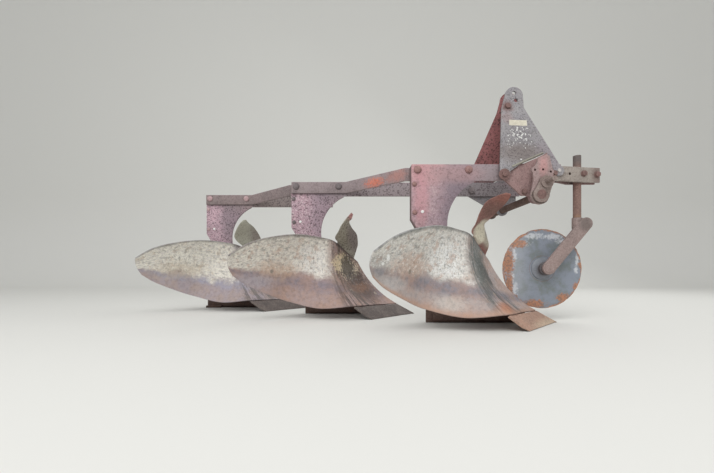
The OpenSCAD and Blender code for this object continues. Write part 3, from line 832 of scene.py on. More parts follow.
FINISHES = {finish.name: finish for finish in (
    Worn("front_standard_paint", (178, 148, 153), (164, 141, 149), RUST, (96, 80, 82),
         (212, 192, 192), rusted=0.08, speckle=0.35, flecked=0.45, gritty=0.4, patch=4.0),
    Worn("middle_standard_paint", (192, 158, 168), (172, 144, 154), RUST, (74, 60, 66),
         (228, 212, 216), rusted=0.08, speckle=0.45, flecked=0.8, gritty=0.75, patch=6.0),
    Worn("rear_standard_paint", (204, 168, 180), (180, 152, 162), RUST, (70, 58, 64),
         (226, 206, 212), rusted=0.1, speckle=0.5, flecked=0.7, gritty=0.75, patch=7.0),
    Worn("bar_paint", (144, 128, 128), (130, 118, 118), RUST, DEEP, (180, 166, 162), rusted=0.15,
         speckle=0.4, flecked=0.3, gritty=0.35, patch=6.0),
    Worn("front_bar_paint", (152, 138, 140), (138, 126, 128), RUST, DEEP, (184, 170, 166),
         rusted=0.2, speckle=0.35, flecked=0.25, gritty=0.3, patch=6.0),
    Worn("angle_paint", (126, 104, 106), (108, 92, 94), RUST, DEEP, BARE, rusted=0.35,
         speckle=0.5),
    Worn("near_mast_paint", (158, 155, 158), (146, 143, 148), (128, 112, 106), (74, 68, 68),
         (186, 182, 178), rusted=0.12, speckle=0.5, flecked=0.4, gritty=0.55, patch=7.0),
    Worn("far_mast_paint", (164, 106, 106), (142, 94, 94), (102, 70, 68), (50, 40, 42),
         (172, 126, 122), rusted=0.3, speckle=0.5, flecked=0.25, gritty=0.8, patch=7.0),
    Worn("side_paint", (158, 128, 126), (140, 114, 112), (132, 96, 84), (76, 60, 56),
         (188, 164, 158), rusted=0.2, speckle=0.4, gritty=0.35),
    Worn("far_side_paint", (140, 138, 142), (128, 126, 131), RUST, DEEP, BARE, rusted=0.12,
         speckle=0.4, gritty=0.35),
    Worn("quadrant_paint", (160, 138, 136), (148, 126, 124), RUST, DEEP, (196, 174, 170),
         rusted=0.15, speckle=0.35, patch=8.0),
    Worn("crank_casting", (150, 134, 128), (132, 116, 110), RUST, DEEP, (186, 172, 164),
         rusted=0.3, speckle=0.45, patch=9.0),
    Worn("hub_steel", (144, 150, 158), (134, 138, 146), (126, 104, 92), DEEP, (170, 174, 180),
         rusted=0.1, speckle=0.3, flecked=0.15, gritty=0.15, patch=9.0, rough=0.6, metal=0.1),
    Worn("clamp_paint", (164, 154, 146), (148, 138, 132), (150, 122, 106), DEEP, (196, 188, 176),
         rusted=0.2, speckle=0.4, patch=8.0),
    Worn("far_clamp_paint", (140, 108, 104), (118, 94, 92), RUST, DEEP, BARE, rusted=0.35,
         speckle=0.5),
    Worn("shank_paint", (148, 116, 106), (132, 106, 98), RUST, DEEP, (180, 154, 142), rusted=0.2,
         speckle=0.4, patch=8.0),
    Worn("coulter_paint", (156, 136, 132), (140, 124, 120), RUST, DEEP, (190, 174, 168),
         rusted=0.15, speckle=0.3, flecked=0.3, patch=8.0),
    Worn("front_share_steel", (184, 146, 126), (170, 138, 122), (190, 124, 88), DEEP,
         (208, 186, 168), rusted=0.25, speckle=0.3, gritty=0.3, patch=10.0, rough=0.7),
    Worn("share_steel", (108, 99, 95), (94, 88, 86), (122, 96, 82), DEEP, (160, 146, 138),
         rusted=0.25, speckle=0.4, gritty=0.4, patch=10.0, rough=0.7),
    Worn("hidden_rust", (104, 84, 76), (90, 72, 66), (130, 88, 66), DEEP, (140, 118, 108),
         rusted=0.5, speckle=0.6, patch=9.0),
    Worn("red_leaf", (138, 96, 90), (122, 92, 86), (140, 100, 90), (70, 54, 50), (190, 150, 136),
         rusted=0.15, speckle=0.3, patch=8.0),
    Worn("grey_leaf", (176, 172, 156), (160, 154, 140), (132, 112, 102), DEEP, (196, 192, 178),
         rusted=0.12, speckle=0.5, flecked=0.4, gritty=0.7, patch=8.0),
    Worn("olive_leaf", (188, 188, 174), (174, 172, 158), (142, 120, 106), DEEP, (204, 200, 182),
         rusted=0.1, speckle=0.35, gritty=0.35, patch=8.0),
    Worn("bolt_rust", (132, 102, 98), (114, 90, 86), RUST, (60, 48, 46), (170, 142, 134),
         rusted=0.3, speckle=0.3, patch=24.0),
    Worn("bolt_grey", (126, 116, 118), (108, 100, 102), RUST, (60, 52, 52), (166, 158, 156),
         rusted=0.25, speckle=0.3, patch=24.0),
    Worn("bolt_pink", (198, 168, 170), (180, 150, 152), RUST, (98, 80, 78), (222, 202, 200),
         rusted=0.1, speckle=0.2, patch=24.0),
    Worn("bolt_brown", (164, 126, 122), (144, 112, 108), RUST, (82, 62, 58), (190, 158, 152),
         rusted=0.25, speckle=0.3, patch=24.0),
    Worn("board_bolt_steel", (168, 156, 144), (150, 138, 128), (150, 116, 98), (104, 90, 82),
         (186, 176, 164), rusted=0.25, speckle=0.3, patch=24.0),
    Worn("bolt_bright", (212, 208, 206), (194, 188, 184), (150, 116, 100), (96, 80, 74),
         (230, 228, 226), rusted=0.08, speckle=0.2, patch=26.0),
    Worn("white_plug", (242, 242, 240), (232, 232, 228), (200, 184, 170), (150, 140, 132),
         (246, 246, 244), rusted=0.02, speckle=0.1, patch=30.0, flecked=0.0, gritty=0.0,
         rough=0.55),
    Worn("pale_strip", (214, 208, 188), (198, 190, 172), (158, 146, 132), (124, 116, 108),
         (236, 234, 222), rusted=0.05, speckle=0.2, flecked=0.3, gritty=0.15, patch=30.0,
         rough=0.6),
    Worn("paint_chip", (226, 226, 222), (206, 206, 202), (170, 160, 148), (124, 116, 108),
         (238, 238, 236), rusted=0.03, speckle=0.1, flecked=0.1, gritty=0.1, patch=30.0,
         rough=0.6),
    Worn("lip_paint", (158, 156, 142), (144, 142, 130), (120, 108, 92), (78, 74, 68),
         (188, 186, 172), rusted=0.15, speckle=0.35, patch=14.0),
    SoilFace("front_board_face", (228, 225, 217), (244, 244, 242), (180, 168, 165),
             (134, 132, 142), (80, 85, 84), (192, 150, 124), pale_from=0.4, bright_at=0.48),
    SoilFace("middle_board_face", (238, 233, 221), (232, 229, 224), (170, 150, 147),
             (140, 132, 142), (66, 61, 58), (190, 150, 122), pale_from=0.42, bright_at=0.45,
             rimmed=0.1),
    SoilFace("rear_board_face", (240, 236, 223), (242, 239, 228), (172, 160, 165), (162, 162, 180),
             (88, 86, 82), (176, 150, 124), pale_from=0.36, bright_at=0.66, streaked=0.6,
             rimmed=0.05),
    DiscFace("disc_face", at(AXLE[0], DISC_Y, AXLE[1]), 0.195),
)}


class Palette:
    """Materials of the plough, each made when it is first used."""

    def __init__(self) -> None:
        """Builds the shared effects."""
        self.effects = Effects()
        self.made: dict[str, bpy.types.Material] = {}

    def get(self, name: str) -> bpy.types.Material:
        """Gives a finish's material, and builds it the first time.

        Args:
            name: name of the finish.

        Returns:
            Its material.
        """
        if name not in self.made:
            self.made[name] = FINISHES[name].build(self.effects)
        return self.made[name]


class Body(Enum):
    """Bodies of the model that pieces ride on."""

    FRAME = "frame"
    HITCH = "hitch_shaft"
    YOKE = "coulter_yoke"
    DISC = "coulter_disc"


@dataclass
class Workshop:
    """Turns meshes into pieces and keeps the count of what was made.

    Attributes:
        palette: the materials.
        made: names of the pieces made so far.
        flat: angle in degrees under which neighbouring faces are joined before rounding.
        corner: angle in degrees over which an edge is rounded.
        shortest: length under which an edge isn't rounded.
    """

    palette: Palette
    made: list[str] = field(default_factory=list)
    flat: float = 0.6
    corner: float = 38.0
    shortest: float = 2.0

    def piece(self, name: str, shape: Mesh, body: Body, finish: str, slot: str,
              replaces: tuple[str, ...] = (), sharp: float = 35.0) -> None:
        """Makes one piece that rides on a body.

        Args:
            name: name of the piece.
            shape: its mesh, which is freed.
            body: body that it moves with.
            finish: name of its finish.
            slot: material slot of the record that it follows; not used.
            replaces: CAD nodes that it stands for.
            sharp: angle in degrees over which an edge stays sharp.
        """
        mesh = bpy.data.meshes.new(name)
        bmesh.ops.recalc_face_normals(shape, faces=shape.faces[:])
        shape.to_mesh(mesh)
        shape.free()
        mesh.shade_smooth()
        mesh.set_sharp_from_angle(angle=math.radians(sharp))
        made = bpy.data.objects.new(name, mesh)
        bpy.context.scene.collection.objects.link(made)
        mesh.materials.append(self.palette.get(finish))
        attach(made, body.value)
        if replaces:
            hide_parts(*replaces)
        self.made.append(name)
        log.info("%s: %d faces, rides on %s", name, len(mesh.polygons), body.value)

    def rounded(self, node: str, finish: str, width: float) -> None:
        """Carries a plate or casting over with its edges rounded.

        Args:
            node: CAD node that is carried over.
            finish: name of its finish.
            width: width of the rounding.
        """
        source = frame["nodes"][node]
        shape = bmesh.new()
        shape.from_mesh(source.data)
        bmesh.ops.remove_doubles(shape, verts=shape.verts[:], dist=1e-5)
        bmesh.ops.dissolve_limit(shape, angle_limit=math.radians(self.flat), verts=shape.verts[:],
                                 edges=shape.edges[:], delimit=set())
        edges = [e for e in shape.edges if len(e.link_faces) == 2
                 and e.calc_face_angle(0.0) > math.radians(self.corner)
                 and e.calc_length() > self.shortest / 1000]
        bmesh.ops.bevel(shape, geom=edges, offset=width / 1000, offset_type="OFFSET", segments=2,
                        profile=0.5, affect="EDGES", clamp_overlap=False)
        slots = {part["node"]: part["material_slot"] for part in frame["record"]["subparts"]}
        self.piece(node + "_dressed", shape, Body(source["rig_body"]), finish, slots[node],
                   (node,), 40.0)


class Side(Enum):
    """Side of the plough that a fastener's head points to."""

    FURROW = -1.0
    LAND = 1.0


def skin(shape: Mesh, rings: list[list[bmesh.types.BMVert]], endless: bool = False) -> None:
    """Covers a row of like rings of vertices with faces.

    Args:
        shape: mesh to add to.
        rings: the rings.
        endless: whether the last ring joins the first, where otherwise both ends are closed.
    """
    for low, high in zip(rings, rings[1:] + (rings[:1] if endless else [])):
        for k in range(len(low)):
            m = (k + 1) % len(low)
            shape.faces.new((low[k], low[m], high[m], high[k]))
    if not endless:
        shape.faces.new(rings[0][::-1])
        shape.faces.new(rings[-1])


def prism(shape: Mesh, radius: float, sides: int, turn: Matrix, layers: Pairs) -> None:
    """Adds a closed stack of regular outlines.

    Args:
        shape: mesh to add to.
        radius: radius of the outline.
        sides: corners of the outline.
        turn: places the stack, with its axis along local Z.
        layers: height and scale of each layer.
    """
    angles = [2 * math.pi * k / sides for k in range(sides)]
    outline = [(radius * math.cos(a), radius * math.sin(a)) for a in angles]
    skin(shape, [[shape.verts.new(turn @ Vector((x * scale / 1000, y * scale / 1000,
                                                 height / 1000))) for x, y in outline]
                 for height, scale in layers])


def facing(place: Vector, side: Side, spin: float = 0.0) -> Matrix:
    """Frame whose local Z points to the furrow or the land side, at a place.

    Args:
        place: origin of the frame, in metres.
        side: way that local Z points.
        spin: turn about local Z, in radians.

    Returns:
        The placing matrix.
    """
    turn = Matrix.Rotation(-side.value * math.pi / 2, 4, "X")
    return Matrix.Translation(place) @ turn @ Matrix.Rotation(spin, 4, "Z")


@dataclass(frozen=True)
class Bolt:
    """A bolt through plates, with its head on one side and its nut on the other.

    Attributes:
        size: thread diameter.
        washer: radius of the washer under the head, or 0 for none.
        domed: whether the head is a round dome, where otherwise it is hexagonal.
        head_high: height of the head, in thread diameters, as the next ones are.
        nut_high: height of the nut.
        hexagon: radius of a hexagonal head or nut.
        dome: radius of a domed head.
        nut_washer: radius of the washer under the nut.
        pitch: distance from ridge to ridge of the thread's end.
    """

    size: float = 20.0
    washer: float = 0.0
    domed: bool = False
    head_high: float = 0.62
    nut_high: float = 0.8
    hexagon: float = 0.87
    dome: float = 0.95
    nut_washer: float = 0.98
    pitch: float = 4.4

    def head(self, shape: Mesh, place: Vector, side: Side, spin: float = 0.0) -> None:
        """Adds the head, on its washer if it has one.

        Args:
            shape: mesh to add to.
            place: where the bolt meets the plate, in metres.
            side: side that the head points to.
            spin: turn about the bolt's axis, in radians.
        """
        base = 0.0
        turn = facing(place, side, spin)
        if self.washer:
            prism(shape, self.washer, 28, turn, ((SUNK, 1.0), (2.6, 1.0), (3.4, 0.96)))
            base = 3.2
        high = self.size * self.head_high
        if self.domed:
            crown = [(base + high * (0.3 + 0.7 * math.sin(a)), 0.98 * math.cos(a))
                     for a in (0.35, 0.7, 1.05, 1.35)]
            prism(shape, self.size * self.dome, 24, turn,
                  ((base + SUNK, 1.0), (base + high * 0.3, 0.98), *crown))
        else:
            prism(shape, self.size * self.hexagon, 6, turn, (
                (base + SUNK, 0.98), (base + 0.8, 1.0), (base + high * 0.82, 1.0),
                (base + high, 0.9)))

    def nut(self, shape: Mesh, place: Vector, side: Side, spin: float, stub: float = 7.0) -> None:
        """Adds the nut on a washer, and the end of the thread past it.

        Args:
            shape: mesh to add to.
            place: where the bolt leaves the plate, in metres.
            side: side that the nut is on.
            spin: turn about the bolt's axis, in radians.
            stub: how far the thread stands out of the nut.
        """
        turn = facing(place, side, spin)
        prism(shape, self.size * self.nut_washer, 28, turn,
              ((SUNK, 1.0), (2.4, 1.0), (3.0, 0.97)))
        high = self.size * self.nut_high
        prism(shape, self.size * self.hexagon, 6, turn, (
            (2.8, 0.92), (4.4, 1.0), (1.4 + high, 1.0), (3.0 + high, 0.92)))
        rows = max(2, int((high + stub) / (self.pitch / 2)))
        threads = [(3.0 + (high + stub) * (k + 0.5) / rows, 1.0 if k % 2 else 0.93)
                   for k in range(rows)]
        prism(shape, self.size * 0.5, 16, turn,
              ((3.0, 0.96), *threads, (3.0 + high + stub, 0.8)))


def bead(shape: Mesh, path: list[Vector], radius: float, seed: int) -> None:
    """Adds a weld bead: a lumpy half-sunk roll along a path.

    Args:
        shape: mesh to add to.
        path: corners of the weld, in metres.
        radius: mean radius of the bead.
        seed: choice of lumps.
    """
    step = radius * 0.9 / 1000
    points: list[Vector] = []
    for start, end in zip(path, path[1:]):
        count = max(2, int((end - start).length / step))
        points += [start.lerp(end, k / count) for k in range(count)]
    points.append(path[-1])
    last = len(points) - 1
    angles = [2 * math.pi * k / 8 for k in range(8)]
    rings = []
    for k, point in enumerate(points):
        ahead = points[min(k + 1, last)] - points[max(k - 1, 0)]
        turn = ahead.to_track_quat("Z", "Y").to_matrix()
        lump = 1.0 + 0.22 * math.sin(k * 2.3 + seed) * (0.6 + 0.4 * noise.noise(
            Vector((k * 0.7, seed, 0.0))))
        size = radius / 1000 * lump * (0.6 if k in (0, last) else 1.0)
        rings.append([shape.verts.new(point + turn @ Vector((
            size * math.cos(a), size * math.sin(a), 0.0))) for a in angles])
    skin(shape, rings)


def closed_sheet(shape: Mesh, grid: list[list[tuple[Vector, Vector]]]) -> None:
    """Builds a closed sheet over a grid.

    Args:
        shape: mesh to add to.
        grid: point of the front and of the back at each place, column by column, in metres.
    """
    front, back = ([[shape.verts.new(points[side]) for points in column] for column in grid]
                   for side in (0, 1))
    columns, rows = len(grid) - 1, len(grid[0]) - 1
    for i in range(columns):
        for j in range(rows):
            for face in (front, back):
                quad = (face[i][j], face[i][j + 1], face[i + 1][j + 1], face[i + 1][j])
                shape.faces.new(quad if face is front else quad[::-1])
    rim = [(0, j) for j in range(rows)] + [(i, rows) for i in range(columns)]
    rim += [(columns, j) for j in range(rows, 0, -1)] + [(i, 0) for i in range(columns, 0, -1)]
    for (i, j), (m, n) in zip(rim, rim[1:] + rim[:1]):
        shape.faces.new((front[m][n], front[i][j], back[i][j], back[m][n]))


def through(points: list[Vector], place: float) -> Vector:
    """Finds a point on the smooth curve through a list of points.

    Args:
        points: points that the curve goes through.
        place: where on the curve, counted in points.

    Returns:
        The point.
    """
    i = min(int(place), len(points) - 2)
    f = place - i
    a, b, c, d = (points[max(0, min(len(points) - 1, k))] for k in (i - 1, i, i + 1, i + 2))
    return 0.5 * (2 * b + (c - a) * f + (2 * a - 5 * b + 4 * c - d) * f * f
                  + (3 * b - a - 3 * c + d) * f ** 3)


@dataclass(frozen=True)
class Rib:
    """One cross rib of a moldboard: its lower end, upper end and hollow at mid height."""

    low: Point
    top: Point
    hollow: Point


RIBS = (
    Rib((855, 38, 60), (632, 38, 298), (-18, 0, -19)),
    Rib((735, -91, 66), (570, -25, 352), (-30, 15, -25)),
    Rib((611, -232, 72), (504, -98, 406), (-35, 30, -20)),
    Rib((440, -226, 58), (429, -167, 421), (-20, 45, 0)),
    Rib((284, -212, 90), (332, -262, 424), (-15, 42, 0)),
    Rib((190, -283, 133), (222, -360, 401), (-10, 28, 0)),
    Rib((104, -352, 182), (135, -425, 365), (-6, 12, 0)),
    Rib((62, -398, 225), (62, -455, 312), (-14, 0, 0)),
)
LAST_RIB = len(RIBS) - 1


@dataclass
class Board:
    """Surface that the moldboard, its bolts and its trashboard share.

    A place on it is a number s, counted in ribs from the shin, and a height t, 0 to 1.

    Attributes:
        thick: thickness of the moldboard.
        columns: columns of the fine mesh.
        rows: rows of the fine mesh.
        dent: depth of the dents.
        rolled: how far the front falls back at its edge and one row inside it.
        thinned: how much thinner the moldboard is at its edge.
        step: step along the surface that its direction is taken over, in ribs and heights.
    """

    thick: float = 8.0
    columns: int = 105
    rows: int = 40
    dent: float = 1.1
    rolled: tuple[float, float] = (1.2, 0.35)
    thinned: float = 1.0
    step: float = 0.02

    def face(self, s: float, t: float) -> Vector:
        """Finds the front's point at a place.

        Args:
            s: rib.
            t: height.

        Returns:
            The point.
        """
        low = through([Vector(rib.low) for rib in RIBS], s)
        top = through([Vector(rib.top) for rib in RIBS], s)
        hollow = through([Vector(rib.hollow) for rib in RIBS], s)
        return low + (top - low) * t + hollow * 4 * t * (1 - t)

    def back(self, s: float, t: float) -> Vector:
        """Finds the direction from the front to the back at a place.

        Args:
            s: rib.
            t: height.

        Returns:
            The direction, of length 1.
        """
        step = self.step
        along = self.face(min(LAST_RIB, s + step), t) - self.face(max(0.0, s - step), t)
        across = self.face(s, min(1.0, t + step)) - self.face(s, max(0.0, t - step))
        return along.cross(across).normalized()

    def behind(self, s: float, t: float, depth: float) -> Vector:
        """Point at a depth behind the front."""
        return self.face(s, t) + self.back(s, t) * depth

    def build(self, bottom: int) -> Mesh:
        """Builds one moldboard with rolled edges and shallow dents.

        Args:
            bottom: which bottom it belongs to, from 0 at the front.

        Returns:
            The mesh, with its flow attribute.
        """
        shape = bmesh.new()
        flow = shape.verts.layers.float_vector.new("flow")
        grid, marks = [], []
        for i in range(self.columns + 1):
            s = LAST_RIB * i / self.columns
            grid.append([])
            for j in range(self.rows + 1):
                t = j / self.rows
                dent = max(0.0, noise.noise(Vector((s * 0.9 + bottom * 7, t * 2.4, 3.0))))
                rim = min(i, self.columns - i, j, self.rows - j)
                rolled = self.rolled[rim] if rim < len(self.rolled) else 0.0
                thick = self.thick - (self.thinned if rim == 0 else 0.0)
                grid[i].append((at(*self.behind(s, t, self.dent * dent + rolled), bottom),
                                at(*self.behind(s, t, thick), bottom)))
                marks.append((i / self.columns, t, bottom * 3.1))
        closed_sheet(shape, grid)
        for vert, mark in zip(shape.verts, marks * 2):
            vert[flow] = mark
        return shape


LEAF_FOOT = ((624, 18, 364), (520, -80, 404))


@dataclass
class Bottoms:
    """The three bottoms: moldboard, share, frog, landside, trashboard and brace of each.

    Attributes:
        shop: where the pieces are made.
        board: surface of the moldboards.
        boards: finishes of the moldboards.
        finishes: finishes of the trashboards.
        share_edge: tip and wing end of a share's cutting edge.
        share_back: shin and wing end of a share's upper edge.
        share_mesh: columns and rows of a share's mesh.
        share_t: thickness of a share at its cutting edge, and what it gains towards its back.
        gunnel: outline of a share's upright gunnel, as X and Z.
        gunnel_sides: Y of the gunnel's two sides.
        bolts: rib, height and nut's depth of the bolts in a moldboard.
        landside_bolts: X and Z of the bolts in a landside.
        leaf_t: thickness of a trashboard.
        leaf_steps: rows of its mesh from one cross line to the next.
        leaf_columns: columns of its mesh.
        leaves: cross lines of each trashboard's leaf, from its foot up to its tip.
    """

    shop: Workshop
    board: Board = field(default_factory=Board)
    boards: tuple[str, ...] = ("front_board_face", "middle_board_face", "rear_board_face")
    finishes: tuple[str, ...] = ("red_leaf", "grey_leaf", "olive_leaf")
    share_edge: tuple[Point, Point] = ((955, 44, 0), (701, -227, 0))
    share_back: tuple[Point, Point] = ((860, 38, 55.5), (616, -232, 66))
    share_mesh: tuple[int, int] = (44, 12)
    share_t: tuple[float, float] = (3.0, 7.0)
    gunnel: Pairs = ((800, 0.3), (953, 0.3), (953, 3), (857, 55.5), (806, 44), (800, 30))
    gunnel_sides: tuple[float, float] = (33.2, 44.8)
    bolts: tuple[Point, ...] = ((0.45, 0.3, 19.5), (0.9, 0.5, 19.5), (1.6, 0.3, 19.5),
                                (2.2, 0.55, 19.5), (4.83, 0.42, 24.0), (1.0, 0.94, 13.6))
    landside_bolts: Pairs = ((430, 55), (560, 62), (690, 52), (770, 32))
    leaf_t: float = 4.6
    leaf_steps: int = 8
    leaf_columns: int = 20
    leaves: tuple[tuple[tuple[Point, Point], ...], ...] = (
        (LEAF_FOOT, ((611, 8, 412), (510, -94, 416)), ((597, 0, 461), (512, -96, 430)),
         ((602, -50, 479), (519, -120, 451)), ((610, -120, 502), (527, -150, 497)),
         ((610, -210, 522), (538, -190, 532)), ((607, -262, 539), (566, -236, 548)),
         ((603, -272, 548), (588, -264, 554))),
        (LEAF_FOOT, ((632, -10, 395), (511, -130, 420)), ((627, -70, 441), (533, -195, 447)),
         ((603, -155, 467), (548, -235, 469)), ((588, -215, 492), (566, -245, 494)),
         ((599, -240, 503), (586, -252, 519)), ((608, -250, 526), (599, -256, 534))),
        (LEAF_FOOT, ((630, -5, 398), (503, -125, 426)), ((628, -60, 462), (498, -170, 456)),
         ((612, -130, 511), (524, -205, 497)), ((595, -190, 534), (553, -230, 529)),
         ((586, -222, 549), (572, -228, 551))),
    )

    def build(self) -> None:
        """Builds every piece of the three bottoms."""
        for i in range(3):
            n = i + 1
            self.shop.piece(f"moldboard_{n}_skin", self.board.build(i), Body.FRAME,
                            self.boards[i], "moldboard_steel", (f"moldboard_{n}",), 50.0)
            self.share(i)
            self.trashboard(i)
            self.fasteners(i)
            for node, width in (("frog", 1.5), ("landside", 2.0), ("brace", 0.8)):
                self.shop.rounded(f"{node}_{n}", "hidden_rust", width)

    def share(self, bottom: int) -> None:
        """Builds a share with a worn, slightly wavy edge and its upright gunnel.

        Args:
            bottom: which bottom it belongs to.
        """
        tip, end = (Vector(corner) for corner in self.share_edge)
        shin, heel = (Vector(corner) for corner in self.share_back)
        up = (heel - shin).cross(tip - shin).normalized()
        columns, rows = self.share_mesh
        thin, gain = self.share_t
        grid = []
        for i in range(columns + 1):
            s = i / columns
            wave = 5.0 * max(0.0, noise.noise(Vector((s * 5.0, bottom * 4.0, 1.0))))
            high = shin.lerp(heel, s)
            low = tip.lerp(end, s).lerp(high, wave / 120)
            grid.append([])
            for j in range(rows + 1):
                t = j / rows
                point = low.lerp(high, t) + Vector((0, 0, 3.0 * (1 - t)))
                under = point - up * (thin + gain * min(1.0, t * 3.0))
                under.z = max(under.z, 0.2)
                if min(i, columns - i, rows - j) == 0:
                    point = point - up * 0.8
                grid[i].append((at(*point, bottom), at(*under, bottom)))
        shape = bmesh.new()
        closed_sheet(shape, grid)
        skin(shape, [[shape.verts.new(at(x, y, z, bottom)) for x, z in self.gunnel]
                     for y in self.gunnel_sides])
        self.shop.piece(f"share_{bottom + 1}_worn", shape, Body.FRAME,
                        "front_share_steel" if bottom == 0 else "share_steel", "share_steel",
                        (f"share_{bottom + 1}",), 30.0)

    def trashboard(self, bottom: int) -> None:
        """Builds a trashboard: a foot on the moldboard's corner and a leaf that curls over.

        Args:
            bottom: which bottom it belongs to.
        """
        seat = self.board.thick + 0.4
        lines = [[self.board.behind(k / 3, t, seat) for k in range(1, 6)] for t in (7 / 8, 1.0)]
        for near, far in self.leaves[bottom]:
            lines.append([Vector(near).lerp(Vector(far), j / 4) for j in range(5)])
        steps, edge = self.leaf_steps, self.leaf_columns
        fine = []
        for r in range(steps * (len(lines) - 1) + 1):
            line = [through([row[j] for row in lines], r / steps) for j in range(5)]
            fine.append([through(line, 4 * c / edge) for c in range(edge + 1)])
        tip = len(fine) - 1
        grid = []
        for r, line in enumerate(fine):
            grid.append([])
            for c, point in enumerate(line):
                ahead = fine[min(r + 1, tip)][c] - fine[max(r - 1, 0)][c]
                side = line[min(c + 1, edge)] - line[max(c - 1, 0)]
                out = side.cross(ahead).normalized()
                rim = 0.8 if min(r, tip - r, c, edge - c) == 0 else 0.0
                grid[r].append((at(*(point + out * rim), bottom),
                                at(*(point + out * (self.leaf_t - rim)), bottom)))
        shape = bmesh.new()
        closed_sheet(shape, grid)
        self.shop.piece(f"trashboard_{bottom + 1}_leaf", shape, Body.FRAME,
                        self.finishes[bottom], "trashboard_paint",
                        (f"trashboard_{bottom + 1}",), 50.0)

    def fasteners(self, bottom: int) -> None:
        """Adds the flush plough bolts, their nuts behind, and the landside's bolts.

        Args:
            bottom: which bottom they belong to.
        """
        shape = bmesh.new()
        for s, t, depth in self.bolts:
            back = self.board.back(s, t)
            turns = []
            for way, behind in ((-back, 1.6), (back, depth)):
                turn = way.to_track_quat("Z", "X").to_matrix().to_4x4()
                place = at(*self.board.behind(s, t, behind), bottom)
                turns.append(Matrix.Translation(place) @ turn)
            head, rear = turns
            prism(shape, 10.5, 24, head, ((0.0, 1.0), (1.1, 1.0), (1.5, 0.95)))
            prism(shape, 10.5, 6, rear, ((-0.4, 0.95), (1.0, 1.0), (9.0, 1.0), (10.0, 0.92)))
            prism(shape, 6.0, 14, rear, ((9.0, 1.0), (13.0, 1.0), (14.0, 0.85)))
        for x, z in self.landside_bolts:
            prism(shape, 11.0, 24, facing(at(x, 44.6, z, bottom), Side.LAND, 0.3),
                  ((0.0, 1.0), (0.8, 1.0), (1.2, 0.95)))
        self.shop.piece(f"board_bolts_{bottom + 1}", shape, Body.FRAME, "board_bolt_steel",
                        "dark_rust")


@dataclass
class Beams:
    """Standards, angles behind them, tie bars, spacers and tubes, with the frame's bolts.

    Attributes:
        shop: where the pieces are made.
        standards: finishes of the standards.
        bolt_finishes: finishes of their bolts.
        bar_bolts: X and Z of a standard's bolts through the tie bars.
        edge_bolts: X and Z of the bolts by its rear edge.
        plug: X and Z of its pale plug.
        weld_line: X and Y of the welds behind its rear edge.
        seams: lowest and highest Z of these welds.
    """

    shop: Workshop
    standards: tuple[str, ...] = ("front_standard_paint", "middle_standard_paint",
                                  "rear_standard_paint")
    bolt_finishes: tuple[str, ...] = ("bolt_brown", "bolt_grey", "bolt_pink")
    bar_bolts: Pairs = ((284.0, 720.0), (523.0, 720.0))
    edge_bolts: Pairs = ((269.0, 652.0), (271.0, 520.0))
    plug: tuple[float, float] = (307.0, 523.0)
    weld_line: tuple[float, float] = (265.5, 17.0)
    seams: Pairs = ((510, 560), (600, 650), (690, 735))

    def build(self) -> None:
        """Builds the beams and their fasteners."""
        for i in range(3):
            self.shop.rounded(f"standard_{i + 1}", self.standards[i], 1.6)
            self.shop.rounded(f"stiffener_{i + 1}", "angle_paint", 1.4)
            self.bolts(i)
            self.welds(i)
        self.shop.rounded("tie_bar_front", "front_bar_paint", 1.6)
        self.shop.rounded("tie_bar_rear", "bar_paint", 1.6)
        for node in ("spacers_front", "spacers_rear", "cross_tube_front", "cross_tube_rear"):
            self.shop.rounded(node, "hidden_rust", 0.8)

    def bolts(self, bottom: int) -> None:
        """Adds one standard's bolts, their nuts and its pale plug.

        Args:
            bottom: which bottom the standard belongs to.
        """
        rnd = random.Random(40 + bottom)
        shape = bmesh.new()
        near = 0.0 if bottom == 0 else -BAR_T
        far = TIE_FAR if bottom < 2 else STANDARD_T
        for x, z in self.bar_bolts:
            Bolt(19.0, domed=True).head(shape, at(x, near, z, bottom), Side.FURROW)
            Bolt(19.0).nut(shape, at(x, far, z, bottom), Side.LAND, rnd.random())
        for x, z in self.edge_bolts:
            Bolt(12.0, domed=True).head(shape, at(x, 0, z, bottom), Side.FURROW)
            Bolt(12.0).nut(shape, at(x, 24, z, bottom), Side.LAND, rnd.random(), 4.0)
        self.shop.piece(f"beam_bolts_{bottom + 1}", shape, Body.FRAME,
                        self.bolt_finishes[bottom], "dark_rust")
        shape = bmesh.new()
        x, z = self.plug
        prism(shape, 7.5, 24, facing(at(x, 0, z, bottom), Side.FURROW),
              ((SUNK, 1.0), (1.2, 0.98), (2.2, 0.8), (2.7, 0.45)))
        self.shop.piece(f"plug_{bottom + 1}", shape, Body.FRAME, "white_plug", "faded_red")

    def welds(self, bottom: int) -> None:
        """Adds the weld beads behind a standard's rear edge.

        Args:
            bottom: which bottom the standard belongs to.
        """
        shape = bmesh.new()
        for k, seam in enumerate(self.seams):
            bead(shape, [at(*self.weld_line, z, bottom) for z in seam], 3.2, bottom * 5 + k)
        self.shop.piece(f"beam_welds_{bottom + 1}", shape, Body.FRAME, "angle_paint",
                        "rusty_red")


class NearFace:
    """Furrow-side face of a CAD node, found by looking along +Y."""

    def __init__(self, node: str) -> None:
        """Keeps a search tree of the node's mesh.

        Args:
            node: name of the CAD node.
        """
        mesh = frame["nodes"][node].data
        self.tree = BVHTree.FromPolygons([v.co.copy() for v in mesh.vertices],
                                         [p.vertices[:] for p in mesh.polygons])

    def on(self, x: float, z: float, lift: float = 0.0) -> Vector | None:
        """Finds the face's point at a place.

        Args:
            x: millimetres ahead of the working origin.
            z: millimetres above the ground.
            lift: height above the face, in millimetres.

        Returns:
            The point in the frame, or None where the node has no face.
        """
        place, normal, _, _ = self.tree.ray_cast(at(x, -400, z), Vector((0, 1, 0)))
        return None if place is None else place + normal * (lift / 1000)


